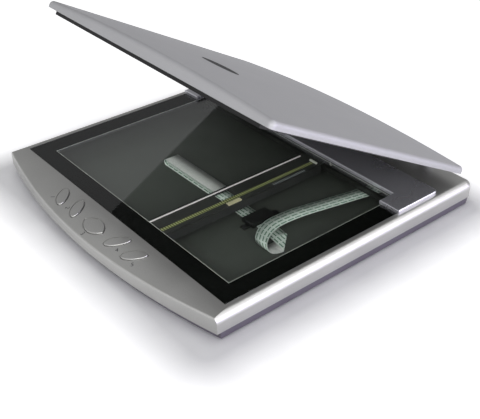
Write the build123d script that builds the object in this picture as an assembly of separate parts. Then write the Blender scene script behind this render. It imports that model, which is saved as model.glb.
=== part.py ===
from build123d import *
import os
from math import acos, cos, pi, radians, sin, sqrt, tan

# Flatbed document scanner with a hinged cover, in millimetres.
# Frame: +Z up, X to the user's right, Y from the button panel to the hinges.
# Origin: middle of the footprint, on the surface the scanner stands on.
# The cover is drawn shut and then turned up about the hinge pins by COVER_REST_ANGLE.

# Window, glass and its border
WINDOW_WIDTH = 297.0
WINDOW_LENGTH = 210.0
BORDER_SIDE = 21.1
BORDER_FRONT = 20.7
BORDER_REAR = 12.0
GLASS_THICKNESS = 2.8
GLASS_GAP = 0.3
MASK_THICKNESS = 0.15
TAPE_THICKNESS = 0.25
TAPE_WIDTH = 4.0
LEDGE_THICKNESS = 1.2
LEDGE_WIDTH = 5.6
STRIP_WIDTH = 7.0

# Base, outside
RAIL_WIDTH = 10.5
PANEL_DEPTH = 39.5
REAR_DECK = 73.0
BOW_DEPTH = 22.6
FOOT_HEIGHT = 1.5
TRAY_HEIGHT = 8.2
HOUSING_HEIGHT = 16.9
HOUSING_WALL = 2.2
TRAY_WALL = 2.0
EDGE_RADIUS = 7.0
REAR_CORNER_RADIUS = 9.0
PANEL_ROLL_RADIUS = 137.0
PANEL_LIP_RADIUS = 1.6
TRAY_SIDE_INSET = 0.8
TRAY_FRONT_INSET = 4.5
TRAY_TAPER = 6.0
LIP_ROOT = 1.6
LIP_HEIGHT = 1.8
LIP_THICKNESS = 1.2
LIP_CLEARANCE = 0.2
BOSS_RADIUS = 3.4
SCREW_RADIUS = 1.3
SCREW_HEAD_RADIUS = 2.6
SCREW_HEAD_HEIGHT = 2.0
SCREW_RECESS = 0.6
SCREW_GRIP = 8.0
FOOT_RADIUS = 7.0
FOOT_SEAT = 0.8

# Raised bezel behind the glass
BEZEL_HEIGHT = 4.0
BEZEL_MARGIN = 8.1
BEZEL_LENGTH = 38.0
EAR_LENGTH = 19.7
EAR_WIDTH = 25.2
BEZEL_SKIN = 1.8
BEZEL_RIM = 2.5
BEZEL_ROUND = 1.2

# Cover
COVER_REST_ANGLE = 28.5
COVER_MARGIN = 7.4
COVER_SETBACK = 46.9
COVER_REAR_GAP = 13.3
COVER_SIDE_HEIGHT = 7.0
COVER_FRONT_CROWN = 5.0
COVER_MIDDLE_CROWN = 7.1
COVER_REAR_CROWN = 6.8
COVER_WALL = 2.0
COVER_SIDE_ROUND = 4.5
COVER_CORNER_ROUND = 5.5
COVER_GAP = 0.3
LINER_THICKNESS = 1.5
LINER_STEP = 4.0
LINER_MARGIN = 14.7
LINER_SETBACK = 3.5
LINER_CLEARANCE = 0.2
PAD_SIDE_MARGIN = 16.0
PAD_MARGIN = 6.0
PAD_SHEET_THICKNESS = 0.5
BADGE_LENGTH = 54.0
BADGE_WIDTH = 18.0
BADGE_DEPTH = 0.8
BADGE_SETBACK = 92.0

# Hinges
HINGE_AXIS_INSET = 5.0
HINGE_AXIS_HEIGHT = 4.0
HINGE_INSET = 60.1
HINGE_BARREL_RADIUS = 3.6
HINGE_PIN_RADIUS = 1.5
HINGE_FORK_WIDTH = 16.0
HINGE_LEAF_WIDTH = 9.6
HINGE_SIDE_GAP = 0.2
HINGE_LEAF_THICKNESS = 2.4
HINGE_LEAF_REACH = 30.0
POST_WIDTH = 18.0
POST_THICKNESS = 5.0
POST_DEPTH = 18.0
POST_CLEARANCE = 0.12
POST_LIFT = 10.0
SOCKET_WALL = 1.3
CATCH_DEPTH = 0.9
CATCH_HEIGHT = 2.0

# Scan carriage and what it runs on
CARRIAGE_X = 38.0
CARRIAGE_WIDTH = 32.0
CARRIAGE_FRONT_OVERLAP = 6.0
CARRIAGE_REAR_SETBACK = 9.0
SPRING_SPACE = 2.6
SPRING_INSET = 30.0
SPRING_REACH = 12.0
SPRING_FOOT = 3.0
SPRING_WIDTH = 5.0
SPRING_THICKNESS = 0.3
CARRIAGE_WALL = 1.6
HEAD_GAP = 0.3
HEAD_TOP_GAP = 0.3
SPACER_OFFSET = 2.0
SPACER_LENGTH = 10.0
SPACER_WIDTH = 1.8
HEAD_HEIGHT = 7.0
LIGHT_OFFSET = -12.0
LIGHT_WIDTH = 2.8
LENS_OFFSET = 6.5
LENS_WIDTH = 4.6
HEAD_RIBBON_Y = -31.4
HEAD_RIBBON_WIDTH = 16.0
GROOVE_DEPTH = 3.0
RECESS_DEPTH = 1.2
ROD_RADIUS = 3.0
ROD_SETBACK = 12.0
ROD_DEPTH = 11.0
ROD_CLEARANCE = 0.04
CLIP_MARGIN = 1.9
CLIP_WIDTH = 4.6
CLIP_LENGTH = 10.0
CLIP_MOUTH = 4.4
BUSHING_WALL = 1.5
BUSHING_LENGTH = 8.0
BEAM_SETBACK = 2.0
BEAM_WIDTH = 4.0
BEAM_DEPTH = 13.4
BEAM_HEIGHT = 5.0
BEAM_MARGIN = 20.1
SHOE_THICKNESS = 0.9
FRONT_RAIL_WIDTH = 3.6
FRONT_RAIL_MARGIN = 22.1
FLOOR_STEP_X = 101.9
FLOOR_STEP_MARGIN = 20.1
FLOOR_STEP_HEIGHT = 0.6
SENSOR_HEIGHT = 10.5
SENSOR_REACH = 7.0
SENSOR_MARGIN = 10.1

# Drive train
GEAR_MODULE = 0.5
PRESSURE_ANGLE = 25.0
BACKLASH = 0.12
WHEEL_TEETH = 42
PINION_TEETH = 14
GEAR_FACE = 2.5
GEAR_TOLERANCE = 0.06
DRIVE_MARGIN = 16.6
IDLER_MARGIN = 14.1
BELT_SETBACK = 19.4
STAGE_ANGLE = 60.0
MOTOR_ANGLE = 35.0
LOWER_GEAR_DEPTH = 19.7
UPPER_GEAR_DEPTH = 16.7
BELT_DEPTH = 12.7
MOTOR_DEPTH = 13.7
IDLER_PLATE_DEPTH = 16.9
BELT_WIDTH = 5.0
BELT_THICKNESS = 1.0
BELT_PITCH = 3.0
PULLEY_TEETH = 10
PULLEY_CLEARANCE = 0.08
FLANGE_THICKNESS = 0.8
FLANGE_RADIUS = 6.0
AXLE_RADIUS = 1.5
AXLE_CLEARANCE = 0.05
MOTOR_RADIUS = 13.0
MOTOR_HEIGHT = 10.0
BRACKET_THICKNESS = 1.2

# Electronics
BOARD_THICKNESS = 1.6
BOARD_STANDOFF = 5.2
BOARD_WIDTH = 82.0
BOARD_LENGTH = 30.0
BOARD_REAR_GAP = 14.6
PANEL_BOARD_LENGTH = 160.0
PANEL_BOARD_WIDTH = 20.0
PANEL_BOARD_SETBACK = 7.9
PANEL_BOARD_DEPTH = 13.9
BOARD_POST_INSET = 4.0
MIDDLE_POST_X = 17.0
USB_TO_HINGE = 30.0
USB_TO_BOARD_EDGE = 30.0
USB_WIDTH = 12.0
USB_HEIGHT = 11.0
USB_DEPTH = 16.5
USB_WALL = 0.8
USB_REVEAL = 0.4
SOCKET_TONGUE_WIDTH = 18.0
PANEL_CABLE_MARGIN = 16.6
PANEL_CABLE_WIDTH = 6.0
RIBBON_WIDTH = 18.0
RIBBON_THICKNESS = 0.3
RIBBON_Y = -15.3
RIBBON_LIFT = 0.2
LOOP_X = -75.5
CURL_X = 111.0
CURL_Y = -37.0
CREASE_RADIUS = 0.3
BEND_X, BEND_Y = 95.0, 25.0
RIBBON_TO_BOARD_EDGE = 57.0
FERRITE_X = 69.2
FERRITE_WIDTH = 16.5
FERRITE_BODY_LENGTH = 30.0
FERRITE_HEIGHT = 4.6
FERRITE_SCREW_SPACING = 40.8
FERRITE_SCREW_OFFSET = 2.0
LUG_THICKNESS = 1.2
SMALL_SCREW_RADIUS = 1.2

# Buttons
BUTTON_TRAVEL = 0.8
BUTTON_GAP = 0.35
BUTTON_PROUD = 0.9
BUTTON_RIM = 1.3
BUTTON_RIM_DEPTH = 0.5
BUTTON_ROUND = 0.7
FLANGE_MARGIN = 1.2
FLANGE_HEIGHT = 1.0
BUTTON_LENGTH = 25.0
BUTTON_WIDTH = 11.0
CENTRE_LENGTH = 30.0
CENTRE_WIDTH = 17.5
BUTTON_ROW_SETBACK = 19.4
CENTRE_SETBACK = 22.4
OUTER_BUTTON_X = 63.7
INNER_BUTTON_X = 35.9
OUTER_BUTTON_TURN = 47.0
INNER_BUTTON_TURN = 54.0
SWITCH_SIZE = 6.0
SWITCH_HEIGHT = 3.6

# Levels and lines that follow from the sizes above
GLASS_WIDTH = WINDOW_WIDTH + 2 * BORDER_SIDE
GLASS_LENGTH = WINDOW_LENGTH + BORDER_FRONT + BORDER_REAR
BASE_WIDTH = GLASS_WIDTH + 2 * RAIL_WIDTH
BASE_LENGTH = PANEL_DEPTH + GLASS_LENGTH + REAR_DECK
HALF_WIDTH = BASE_WIDTH / 2
REAR_Y = BASE_LENGTH / 2
TIP_Y = -REAR_Y
BOW_RADIUS = (HALF_WIDTH**2 + BOW_DEPTH**2) / (2 * BOW_DEPTH)
SPLIT_Z = FOOT_HEIGHT + TRAY_HEIGHT
SCREW_SEAT_Z = FOOT_HEIGHT + SCREW_RECESS + SCREW_HEAD_HEIGHT
DECK_Z = SPLIT_Z + HOUSING_HEIGHT
FLOOR_Z = FOOT_HEIGHT + TRAY_WALL
PANEL_EDGE_Y = TIP_Y + PANEL_DEPTH
GLASS_FRONT_Y = PANEL_EDGE_Y
GLASS_REAR_Y = GLASS_FRONT_Y + GLASS_LENGTH
GLASS_Z = DECK_Z - GLASS_THICKNESS
WINDOW_FRONT_Y = GLASS_FRONT_Y + BORDER_FRONT
WINDOW_REAR_Y = WINDOW_FRONT_Y + WINDOW_LENGTH
LEDGE_TOP_Z = GLASS_Z - MASK_THICKNESS - TAPE_THICKNESS
LEDGE_BOTTOM_Z = LEDGE_TOP_Z - LEDGE_THICKNESS
BEZEL_WIDTH = BASE_WIDTH - 2 * BEZEL_MARGIN
BEZEL_FRONT_Y = WINDOW_REAR_Y - 1.0
BEZEL_REAR_Y = BEZEL_FRONT_Y + BEZEL_LENGTH
BEZEL_TOP_Z = DECK_Z + BEZEL_HEIGHT
AXIS_Y = REAR_Y - HINGE_AXIS_INSET
AXIS_Z = DECK_Z + HINGE_AXIS_HEIGHT
HINGE_SPACING = BASE_WIDTH - 2 * HINGE_INSET
USB_X = HINGE_SPACING / 2 - USB_TO_HINGE
POST_Y = AXIS_Y - POST_THICKNESS / 2 - 0.2
POST_BOTTOM_Z = DECK_Z - POST_DEPTH
COVER_WIDTH = BASE_WIDTH - 2 * COVER_MARGIN
COVER_Z = BEZEL_TOP_Z + COVER_GAP
COVER_REAR_Y = REAR_Y - COVER_REAR_GAP
COVER_FRONT_Y = TIP_Y + COVER_SETBACK
LINER_WIDTH = COVER_WIDTH - 2 * LINER_MARGIN
PAD_WIDTH = LINER_WIDTH - 2 * PAD_SIDE_MARGIN
HEAD_TOP_Z = LEDGE_BOTTOM_Z - HEAD_TOP_GAP
HEAD_BOTTOM_Z = HEAD_TOP_Z - HEAD_HEIGHT
CARRIAGE_BOTTOM = HEAD_BOTTOM_Z - SPRING_SPACE
CARRIAGE_FRONT_Y = WINDOW_FRONT_Y - CARRIAGE_FRONT_OVERLAP
CARRIAGE_REAR_Y = WINDOW_REAR_Y - CARRIAGE_REAR_SETBACK
CLAMP_X0 = CARRIAGE_X + 6
CLAMP_X1 = CARRIAGE_X + 12
ROD_Y = WINDOW_REAR_Y + ROD_SETBACK
ROD_Z = DECK_Z - ROD_DEPTH
BEAM_Y = WINDOW_REAR_Y - BEAM_SETBACK
BEAM_BOTTOM = DECK_Z - BEAM_DEPTH
BEAM_LENGTH = BASE_WIDTH - 2 * BEAM_MARGIN
FRONT_RAIL_TOP = CARRIAGE_BOTTOM - SHOE_THICKNESS - 0.1
FLAG_Z = FLOOR_Z + SENSOR_HEIGHT + 0.5
PITCH_RADIUS = PULLEY_TEETH * BELT_PITCH / (2 * pi)
GEAR_CENTRES = GEAR_MODULE * (WHEEL_TEETH + PINION_TEETH) / 2 + GEAR_TOLERANCE
DRIVE_X = DRIVE_MARGIN - HALF_WIDTH
IDLER_X = HALF_WIDTH - IDLER_MARGIN
BELT_Y = ROD_Y + BELT_SETBACK
BELT_Z = DECK_Z - BELT_DEPTH
LOWER_GEAR_Z = DECK_Z - LOWER_GEAR_DEPTH
UPPER_GEAR_Z = DECK_Z - UPPER_GEAR_DEPTH
MOTOR_Z = DECK_Z - MOTOR_DEPTH
IDLER_PLATE_Z = DECK_Z - IDLER_PLATE_DEPTH
STAGE_X = DRIVE_X + GEAR_CENTRES * cos(radians(STAGE_ANGLE))
STAGE_Y = BELT_Y + GEAR_CENTRES * sin(radians(STAGE_ANGLE))
MOTOR_X = STAGE_X + GEAR_CENTRES * cos(radians(MOTOR_ANGLE))
MOTOR_Y = STAGE_Y + GEAR_CENTRES * sin(radians(MOTOR_ANGLE))
HOME_X = SENSOR_MARGIN - HALF_WIDTH
BOARD_Z = FLOOR_Z + BOARD_STANDOFF
BOARD_X0 = USB_X - USB_TO_BOARD_EDGE
BOARD_X1 = BOARD_X0 + BOARD_WIDTH
RIBBON_END_X = BOARD_X0 + RIBBON_TO_BOARD_EDGE
BOARD_Y1 = REAR_Y - BOARD_REAR_GAP
BOARD_Y0 = BOARD_Y1 - BOARD_LENGTH
PANEL_BOARD_Z = DECK_Z - PANEL_BOARD_DEPTH
PANEL_BOARD_HALF = PANEL_BOARD_LENGTH / 2
PANEL_BOARD_Y1 = PANEL_EDGE_Y - PANEL_BOARD_SETBACK
PANEL_BOARD_Y0 = PANEL_BOARD_Y1 - PANEL_BOARD_WIDTH
PANEL_CABLE_X = HALF_WIDTH - PANEL_CABLE_MARGIN
RIBBON_Z = FLOOR_Z + RIBBON_LIFT
BOARD_TOP_Z = BOARD_Z + BOARD_THICKNESS
RIBBON_TOP_Z = BOARD_TOP_Z
FOLD_RADIUS = (RIBBON_TOP_Z - RIBBON_Z - RIBBON_THICKNESS) / 2

# Places of keys, screws, feet and board posts, as x, y and for the keys a turn in degrees
KEY_ROW_Y = PANEL_EDGE_Y - BUTTON_ROW_SETBACK
BUTTON_PLACES = {
    1: (-OUTER_BUTTON_X, KEY_ROW_Y, -OUTER_BUTTON_TURN),
    2: (-INNER_BUTTON_X, KEY_ROW_Y, -INNER_BUTTON_TURN),
    3: (0, PANEL_EDGE_Y - CENTRE_SETBACK, 0),
    4: (INNER_BUTTON_X, KEY_ROW_Y, INNER_BUTTON_TURN),
    5: (OUTER_BUTTON_X, KEY_ROW_Y, OUTER_BUTTON_TURN),
}
FRONT_SCREW_X = HALF_WIDTH - 40.1
SIDE_SCREW_X = HALF_WIDTH - 12.1
SCREW_PLACES = [
    (-FRONT_SCREW_X, GLASS_FRONT_Y - 8),
    (FRONT_SCREW_X, GLASS_FRONT_Y - 8),
    (-SIDE_SCREW_X, REAR_Y - 29.6),
    (SIDE_SCREW_X, REAR_Y - 29.6),
    (-52, REAR_Y - 10),
    (52, REAR_Y - 10),
]
FOOT_X = HALF_WIDTH - 30.1
FOOT_PLACES = [
    (-FOOT_X, TIP_Y + 37.6),
    (FOOT_X, TIP_Y + 37.6),
    (-FOOT_X, REAR_Y - 25.6),
    (FOOT_X, REAR_Y - 25.6),
]
BOARD_POSTS = [
    (BOARD_X0 + BOARD_POST_INSET, BOARD_Y0 + BOARD_POST_INSET),
    (BOARD_X1 - BOARD_POST_INSET, BOARD_Y0 + BOARD_POST_INSET),
    (BOARD_X0 + BOARD_POST_INSET, BOARD_Y1 - BOARD_POST_INSET),
    (BOARD_X0 + 43, BOARD_Y1 - BOARD_POST_INSET),
]
PANEL_POST_X = PANEL_BOARD_HALF - BOARD_POST_INSET
PANEL_BOARD_POSTS = [
    (x, PANEL_BOARD_Y1 - 3.5) for x in (-PANEL_POST_X, -MIDDLE_POST_X, MIDDLE_POST_X, PANEL_POST_X)
]

os.makedirs("parts", exist_ok=True)


def save(name, shape):
    """Writes one sub-part under its own name."""
    export_step(shape, f"parts/{name}.step")
    print(name, len(shape.solids()), round(shape.volume, 1))


def block(x0, x1, y0, y1, z0, z1):
    """A box given by its faces."""
    return Pos((x0 + x1) / 2, (y0 + y1) / 2, (z0 + z1) / 2) * Box(x1 - x0, y1 - y0, z1 - z0)


def post(x, y, z0, z1, radius):
    """An upright cylinder."""
    return Pos(x, y, (z0 + z1) / 2) * Cylinder(radius, z1 - z0)


def rod_along_x(x0, x1, y, z, radius):
    """A cylinder along X."""
    return Pos((x0 + x1) / 2, y, z) * Rot(0, 90, 0) * Cylinder(radius, x1 - x0)


def section_at(y):
    """A drawing plane across the scanner at y, with its local axes along X and Z."""
    return Plane(origin=(0, y, 0), x_dir=(1, 0, 0), z_dir=(0, -1, 0))


def bow_y(x, inset):
    """Y of the bowed front edge at x, moved inwards by inset."""
    return TIP_Y + BOW_RADIUS - sqrt((BOW_RADIUS - inset) ** 2 - x**2)


def base_outline(side_inset, front_inset):
    """Plan outline of the base: straight sides and rear, bowed front."""
    half = HALF_WIDTH - side_inset
    rear = REAR_Y - side_inset
    corner = bow_y(half, front_inset)
    sides = Polyline((half, corner), (half, rear), (-half, rear), (-half, corner))
    bow = ThreePointArc((-half, corner), (0, TIP_Y + front_inset), (half, corner))
    outline = make_face(sides + bow)
    return fillet(outline.vertices().group_by(Axis.Y)[-1], REAR_CORNER_RADIUS - side_inset)


def above_panel(lower):
    """Everything over the rolled button panel, with the roll lowered by the given amount."""
    radius = PANEL_ROLL_RADIUS - lower
    centre_z = DECK_Z - PANEL_ROLL_RADIUS
    reach = PANEL_DEPTH + 6
    top = DECK_Z + 10
    middle = (PANEL_EDGE_Y - reach / 2, centre_z + sqrt(radius**2 - reach**2 / 4))
    far = (PANEL_EDGE_Y - reach, centre_z + sqrt(radius**2 - reach**2))
    roll = ThreePointArc((PANEL_EDGE_Y, centre_z + radius), middle, far)
    rest = Polyline(far, (far[0], top), (PANEL_EDGE_Y, top), (PANEL_EDGE_Y, centre_z + radius))
    return extrude(Plane.YZ * make_face(roll + rest), HALF_WIDTH + 5, both=True)


def housing_form(skin):
    """Outer form of the upper housing, or of its hollow where skin is its wall."""
    form = extrude(Pos(0, 0, SPLIT_Z) * base_outline(skin, skin), HOUSING_HEIGHT - skin)
    rim = form.faces().sort_by(Axis.Z)[-1].edges()
    rim = rim.filter_by(lambda edge: edge.center().Y > -REAR_Y + BOW_DEPTH + 1)
    form = fillet(rim, EDGE_RADIUS - skin)
    form -= above_panel(skin)
    if skin == 0:
        front = form.edges().filter_by(lambda edge: edge.center().Y < TIP_Y + BOW_DEPTH / 2)
        lip = front.filter_by(lambda edge: edge.center().Z > SPLIT_Z + 4)
        form = fillet(lip, PANEL_LIP_RADIUS)
    return form


def panel_z(y):
    """Height of the button panel at y."""
    return DECK_Z - PANEL_ROLL_RADIUS + sqrt(PANEL_ROLL_RADIUS**2 - (PANEL_EDGE_Y - y) ** 2)


def leaf_outline(length, width):
    """A pointed leaf, where two equal circles cross."""
    radius = (length**2 + width**2) / (4 * width)
    shift = radius - width / 2
    return Pos(0, shift) * Circle(radius) & Pos(0, -shift) * Circle(radius)


def button_outline(number, margin):
    """Plan outline of a button, in place, grown by margin."""
    x, y, turn = BUTTON_PLACES[number]
    if number == 3:
        shape = leaf_outline(CENTRE_LENGTH + 2.6 * margin, CENTRE_WIDTH + 2 * margin)
    else:
        shape = Ellipse(BUTTON_LENGTH / 2 + margin, BUTTON_WIDTH / 2 + margin)
    return Pos(x, y) * Rot(0, 0, turn) * shape


def upper_housing():
    """Silver-grey top half of the base: deck, rolled panel, quarter-round sides, glass opening."""
    housing = housing_form(0) - housing_form(HOUSING_WALL)
    ledge_x = GLASS_WIDTH / 2 + GLASS_GAP
    front = GLASS_FRONT_Y - GLASS_GAP
    rear = GLASS_REAR_Y + GLASS_GAP
    rim = 2.0
    ring = block(-ledge_x - rim, ledge_x + rim, front - rim, rear + rim, LEDGE_BOTTOM_Z, DECK_Z - 1)
    housing += ring
    housing -= block(-ledge_x, ledge_x, front, rear, LEDGE_TOP_Z, DECK_Z + 5)
    well_x = GLASS_WIDTH / 2 - LEDGE_WIDTH
    housing -= block(
        -well_x, well_x, GLASS_FRONT_Y + LEDGE_WIDTH, GLASS_REAR_Y - LEDGE_WIDTH, 0, DECK_Z
    )
    for number in BUTTON_PLACES:
        rim_cut = extrude(Pos(0, 0, SPLIT_Z) * button_outline(number, BUTTON_RIM), DECK_Z)
        housing -= rim_cut & above_panel(BUTTON_RIM_DEPTH)
        housing -= extrude(Pos(0, 0, SPLIT_Z) * button_outline(number, BUTTON_GAP), DECK_Z)
    for x, y in SCREW_PLACES:
        housing += post(x, y, SPLIT_Z, DECK_Z - HOUSING_WALL, BOSS_RADIUS)
        housing -= post(x, y, SPLIT_Z, SPLIT_Z + SCREW_GRIP + 1, SCREW_RADIUS)
    for side in (-1, 1):
        x, y, wide, deep = socket_size(side)
        x0 = x - wide / 2
        y0 = y - deep / 2
        housing -= block(x0, x0 + wide, y0, y0 + deep, DECK_Z - 5, DECK_Z + 5)
    mouth = USB_WIDTH / 2 + USB_REVEAL
    housing -= block(
        USB_X - mouth, USB_X + mouth, REAR_Y - 5, REAR_Y + 5,
        BOARD_TOP_Z - USB_REVEAL, BOARD_TOP_Z + USB_HEIGHT + USB_REVEAL,
    )
    return housing


def tray_form(skin):
    """Dark lower casing, tapered inwards to its underside."""
    outline = base_outline(TRAY_SIDE_INSET + skin, TRAY_FRONT_INSET + skin)
    return extrude(Pos(0, 0, SPLIT_Z) * outline, -(TRAY_HEIGHT - skin), taper=TRAY_TAPER)


def tray_lip():
    """Flange that closes the gap under the bow and a lip that locates the housing wall."""
    outer = HOUSING_WALL + LIP_CLEARANCE
    inner = outer + LIP_THICKNESS
    base = Pos(0, 0, SPLIT_Z - LIP_ROOT)
    height = LIP_ROOT + LIP_HEIGHT
    lip = extrude(base * base_outline(outer, outer), height)
    lip -= extrude(base * base_outline(inner, TRAY_FRONT_INSET + TRAY_WALL), height)
    reach = SOCKET_TONGUE_WIDTH / 2 + 0.5
    return lip - block(USB_X - reach, USB_X + reach, REAR_Y - 9, REAR_Y, 0, DECK_Z)


def lower_casing():
    """Shallow tray that closes the base from below and carries the works."""
    tray = tray_form(0) - tray_form(TRAY_WALL) + tray_lip()
    bosses = [(x, y, SPLIT_Z) for x, y in SCREW_PLACES]
    bosses += [(x, y, BOARD_Z) for x, y in BOARD_POSTS]
    bosses += [(x, y, PANEL_BOARD_Z) for x, y in PANEL_BOARD_POSTS]
    for x, y, top in bosses:
        tray += post(x, y, FLOOR_Z - 0.5, top, BOSS_RADIUS)
    rail_front = CARRIAGE_FRONT_Y + 0.4
    rail_rear = rail_front + FRONT_RAIL_WIDTH
    tray += block(
        HOME_X - 2, HALF_WIDTH - FRONT_RAIL_MARGIN, rail_front, rail_rear, FLOOR_Z - 0.5, FRONT_RAIL_TOP
    )
    tray += block(
        FLOOR_STEP_X, HALF_WIDTH - FLOOR_STEP_MARGIN, rail_rear + 3, RIBBON_Y - 20,
        FLOOR_Z - 0.5, FLOOR_Z + FLOOR_STEP_HEIGHT,
    )
    for x, y in SCREW_PLACES:
        tray -= post(x, y, 0, SPLIT_Z + 1, SCREW_RADIUS + 0.2)
        tray -= post(x, y, 0, SCREW_SEAT_Z, SCREW_HEAD_RADIUS + 0.2)
    for x, y in FOOT_PLACES:
        tray -= post(x, y, 0, FOOT_HEIGHT + FOOT_SEAT, FOOT_RADIUS)
    for x, y in ((DRIVE_X, BELT_Y), (STAGE_X, STAGE_Y)):
        tray -= post(x, y, FLOOR_Z - 1, FLOOR_Z + 1, AXLE_RADIUS)
    return tray


def rubber_feet():
    """Four round pads, seated in shallow recesses."""
    feet = [post(x, y, 0, FOOT_HEIGHT + FOOT_SEAT, FOOT_RADIUS) for x, y in FOOT_PLACES]
    rounded = [fillet(foot.edges().sort_by(Axis.Z)[0], 0.6) for foot in feet]
    return Compound(rounded)


def housing_screws():
    """Screws that pull the lower casing up to the housing."""
    screws = []
    for x, y in SCREW_PLACES:
        head = post(x, y, SCREW_SEAT_Z - SCREW_HEAD_HEIGHT, SCREW_SEAT_Z, SCREW_HEAD_RADIUS)
        shank = post(x, y, SCREW_SEAT_Z, SPLIT_Z + SCREW_GRIP, SCREW_RADIUS)
        screws.append(head + shank)
    return Compound([screw.solid() for screw in screws])


def platen_glass():
    """Clear glass sheet with a small ground edge."""
    glass = block(-GLASS_WIDTH / 2, GLASS_WIDTH / 2, GLASS_FRONT_Y, GLASS_REAR_Y, GLASS_Z, DECK_Z)
    return chamfer(glass.faces().sort_by(Axis.Z)[-1].edges(), 0.3)


def glass_mask():
    """Black border printed on the underside of the glass, around the window."""
    mask = block(
        -GLASS_WIDTH / 2, GLASS_WIDTH / 2, GLASS_FRONT_Y, GLASS_REAR_Y, GLASS_Z - MASK_THICKNESS, GLASS_Z
    )
    return mask - block(
        -WINDOW_WIDTH / 2, WINDOW_WIDTH / 2, WINDOW_FRONT_Y, WINDOW_REAR_Y, LEDGE_TOP_Z, DECK_Z
    )


def glass_tape():
    """Double-sided tape between the border and the ledge of the housing."""
    outer_x = GLASS_WIDTH / 2 - 0.5
    tape = block(
        -outer_x, outer_x, GLASS_FRONT_Y + 0.5, GLASS_REAR_Y - 0.5, LEDGE_TOP_Z, GLASS_Z - MASK_THICKNESS
    )
    return tape - block(
        -outer_x + TAPE_WIDTH, outer_x - TAPE_WIDTH,
        GLASS_FRONT_Y + 0.5 + TAPE_WIDTH, GLASS_REAR_Y - 0.5 - TAPE_WIDTH, 0, DECK_Z,
    )


def calibration_strip():
    """White reference strip under the border at the carriage's home side."""
    x0 = -WINDOW_WIDTH / 2 - 1 - STRIP_WIDTH
    return block(
        x0, x0 + STRIP_WIDTH, CARRIAGE_FRONT_Y + 6, CARRIAGE_REAR_Y - 6,
        GLASS_Z - MASK_THICKNESS - 0.15, GLASS_Z - MASK_THICKNESS,
    )


def rear_bezel():
    """Raised plate behind the glass, with an ear running forward at each side."""
    half = BEZEL_WIDTH / 2
    ear_y = BEZEL_FRONT_Y - EAR_LENGTH
    inner = half - EAR_WIDTH
    outline = Polyline(
        (-half, BEZEL_REAR_Y), (-half, ear_y), (-inner, ear_y), (-inner, BEZEL_FRONT_Y),
        (inner, BEZEL_FRONT_Y), (inner, ear_y), (half, ear_y), (half, BEZEL_REAR_Y), close=True,
    )
    plate = extrude(Pos(0, 0, DECK_Z) * make_face(outline), BEZEL_HEIGHT)
    plate = fillet(plate.edges().filter_by(Axis.Z).group_by(Axis.Y)[-1], 5)
    plate = fillet(plate.faces().sort_by(Axis.Z)[-1].edges(), BEZEL_ROUND)
    plate -= block(
        -half + BEZEL_RIM, half - BEZEL_RIM, BEZEL_FRONT_Y + BEZEL_RIM, BEZEL_REAR_Y - BEZEL_RIM,
        DECK_Z, BEZEL_TOP_Z - BEZEL_SKIN,
    )
    for share in (-0.5, -0.25, 0, 0.25, 0.5):
        x = share * HINGE_SPACING
        plate += block(
            x - 0.7, x + 0.7, BEZEL_FRONT_Y + 1, BEZEL_REAR_Y - 1, DECK_Z + 0.2, BEZEL_TOP_Z - 1
        )
    return plate


def socket_size(side):
    """Centre and outer plan size of a hinge socket."""
    wide = POST_WIDTH + 2 * (POST_CLEARANCE + SOCKET_WALL)
    deep = POST_THICKNESS + 2 * (POST_CLEARANCE + SOCKET_WALL)
    return side * HINGE_SPACING / 2, POST_Y, wide, deep


def hinge_sockets():
    """Two upright sleeves in the rear deck in which the hinge posts rise and fall."""
    sockets = []
    for side in (-1, 1):
        x, y, wide, deep = socket_size(side)
        sleeve = block(x - wide / 2, x + wide / 2, y - deep / 2, y + deep / 2, FLOOR_Z, DECK_Z)
        bore_x = POST_WIDTH / 2 + POST_CLEARANCE
        bore_y = POST_THICKNESS / 2 + POST_CLEARANCE
        sleeve -= block(x - bore_x, x + bore_x, y - bore_y, y + bore_y, FLOOR_Z + 1.5, DECK_Z + 1)
        slot_top = POST_BOTTOM_Z + CATCH_HEIGHT + POST_LIFT + 0.3
        sleeve -= block(x - 2.7, x + 2.7, y - deep / 2 - 1, y, POST_BOTTOM_Z - 0.4, slot_top)
        sockets.append(sleeve.solid())
    return Compound(sockets)


def hinge_post(side):
    """Sliding post with a fork at its top that holds the hinge pin."""
    x = side * HINGE_SPACING / 2
    y0 = POST_Y - POST_THICKNESS / 2
    y1 = POST_Y + POST_THICKNESS / 2
    half = POST_WIDTH / 2
    body = block(x - half, x + half, y0, y1, POST_BOTTOM_Z, DECK_Z + 0.2)
    fork = HINGE_FORK_WIDTH / 2
    body += block(x - fork, x + fork, y0, y1, DECK_Z, AXIS_Z)
    body += rod_along_x(x - fork, x + fork, AXIS_Y, AXIS_Z, HINGE_BARREL_RADIUS)
    slot = HINGE_LEAF_WIDTH / 2 + HINGE_SIDE_GAP
    body -= block(x - slot, x + slot, y0 - 1, AXIS_Y + 9, DECK_Z + 0.1, AXIS_Z + 9)
    body -= rod_along_x(x - fork - 1, x + fork + 1, AXIS_Y, AXIS_Z, HINGE_PIN_RADIUS)
    catch_top = POST_BOTTOM_Z + CATCH_HEIGHT
    return body + block(x - 2.4, x + 2.4, y0 - CATCH_DEPTH, y0 + 0.5, POST_BOTTOM_Z, catch_top)


def hinge_pins():
    """Steel pins held by the forks, on which the cover turns."""
    fork = HINGE_FORK_WIDTH / 2
    pins = []
    for side in (-1, 1):
        x = side * HINGE_SPACING / 2
        pins.append(rod_along_x(x - fork, x + fork, AXIS_Y, AXIS_Z, HINGE_PIN_RADIUS).solid())
    return Compound(pins)


def lifted(shape):
    """Turns a piece of the cover from shut to its resting angle."""
    return shape.rotate(Axis((0, AXIS_Y, AXIS_Z), (1, 0, 0)), -COVER_REST_ANGLE)


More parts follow.
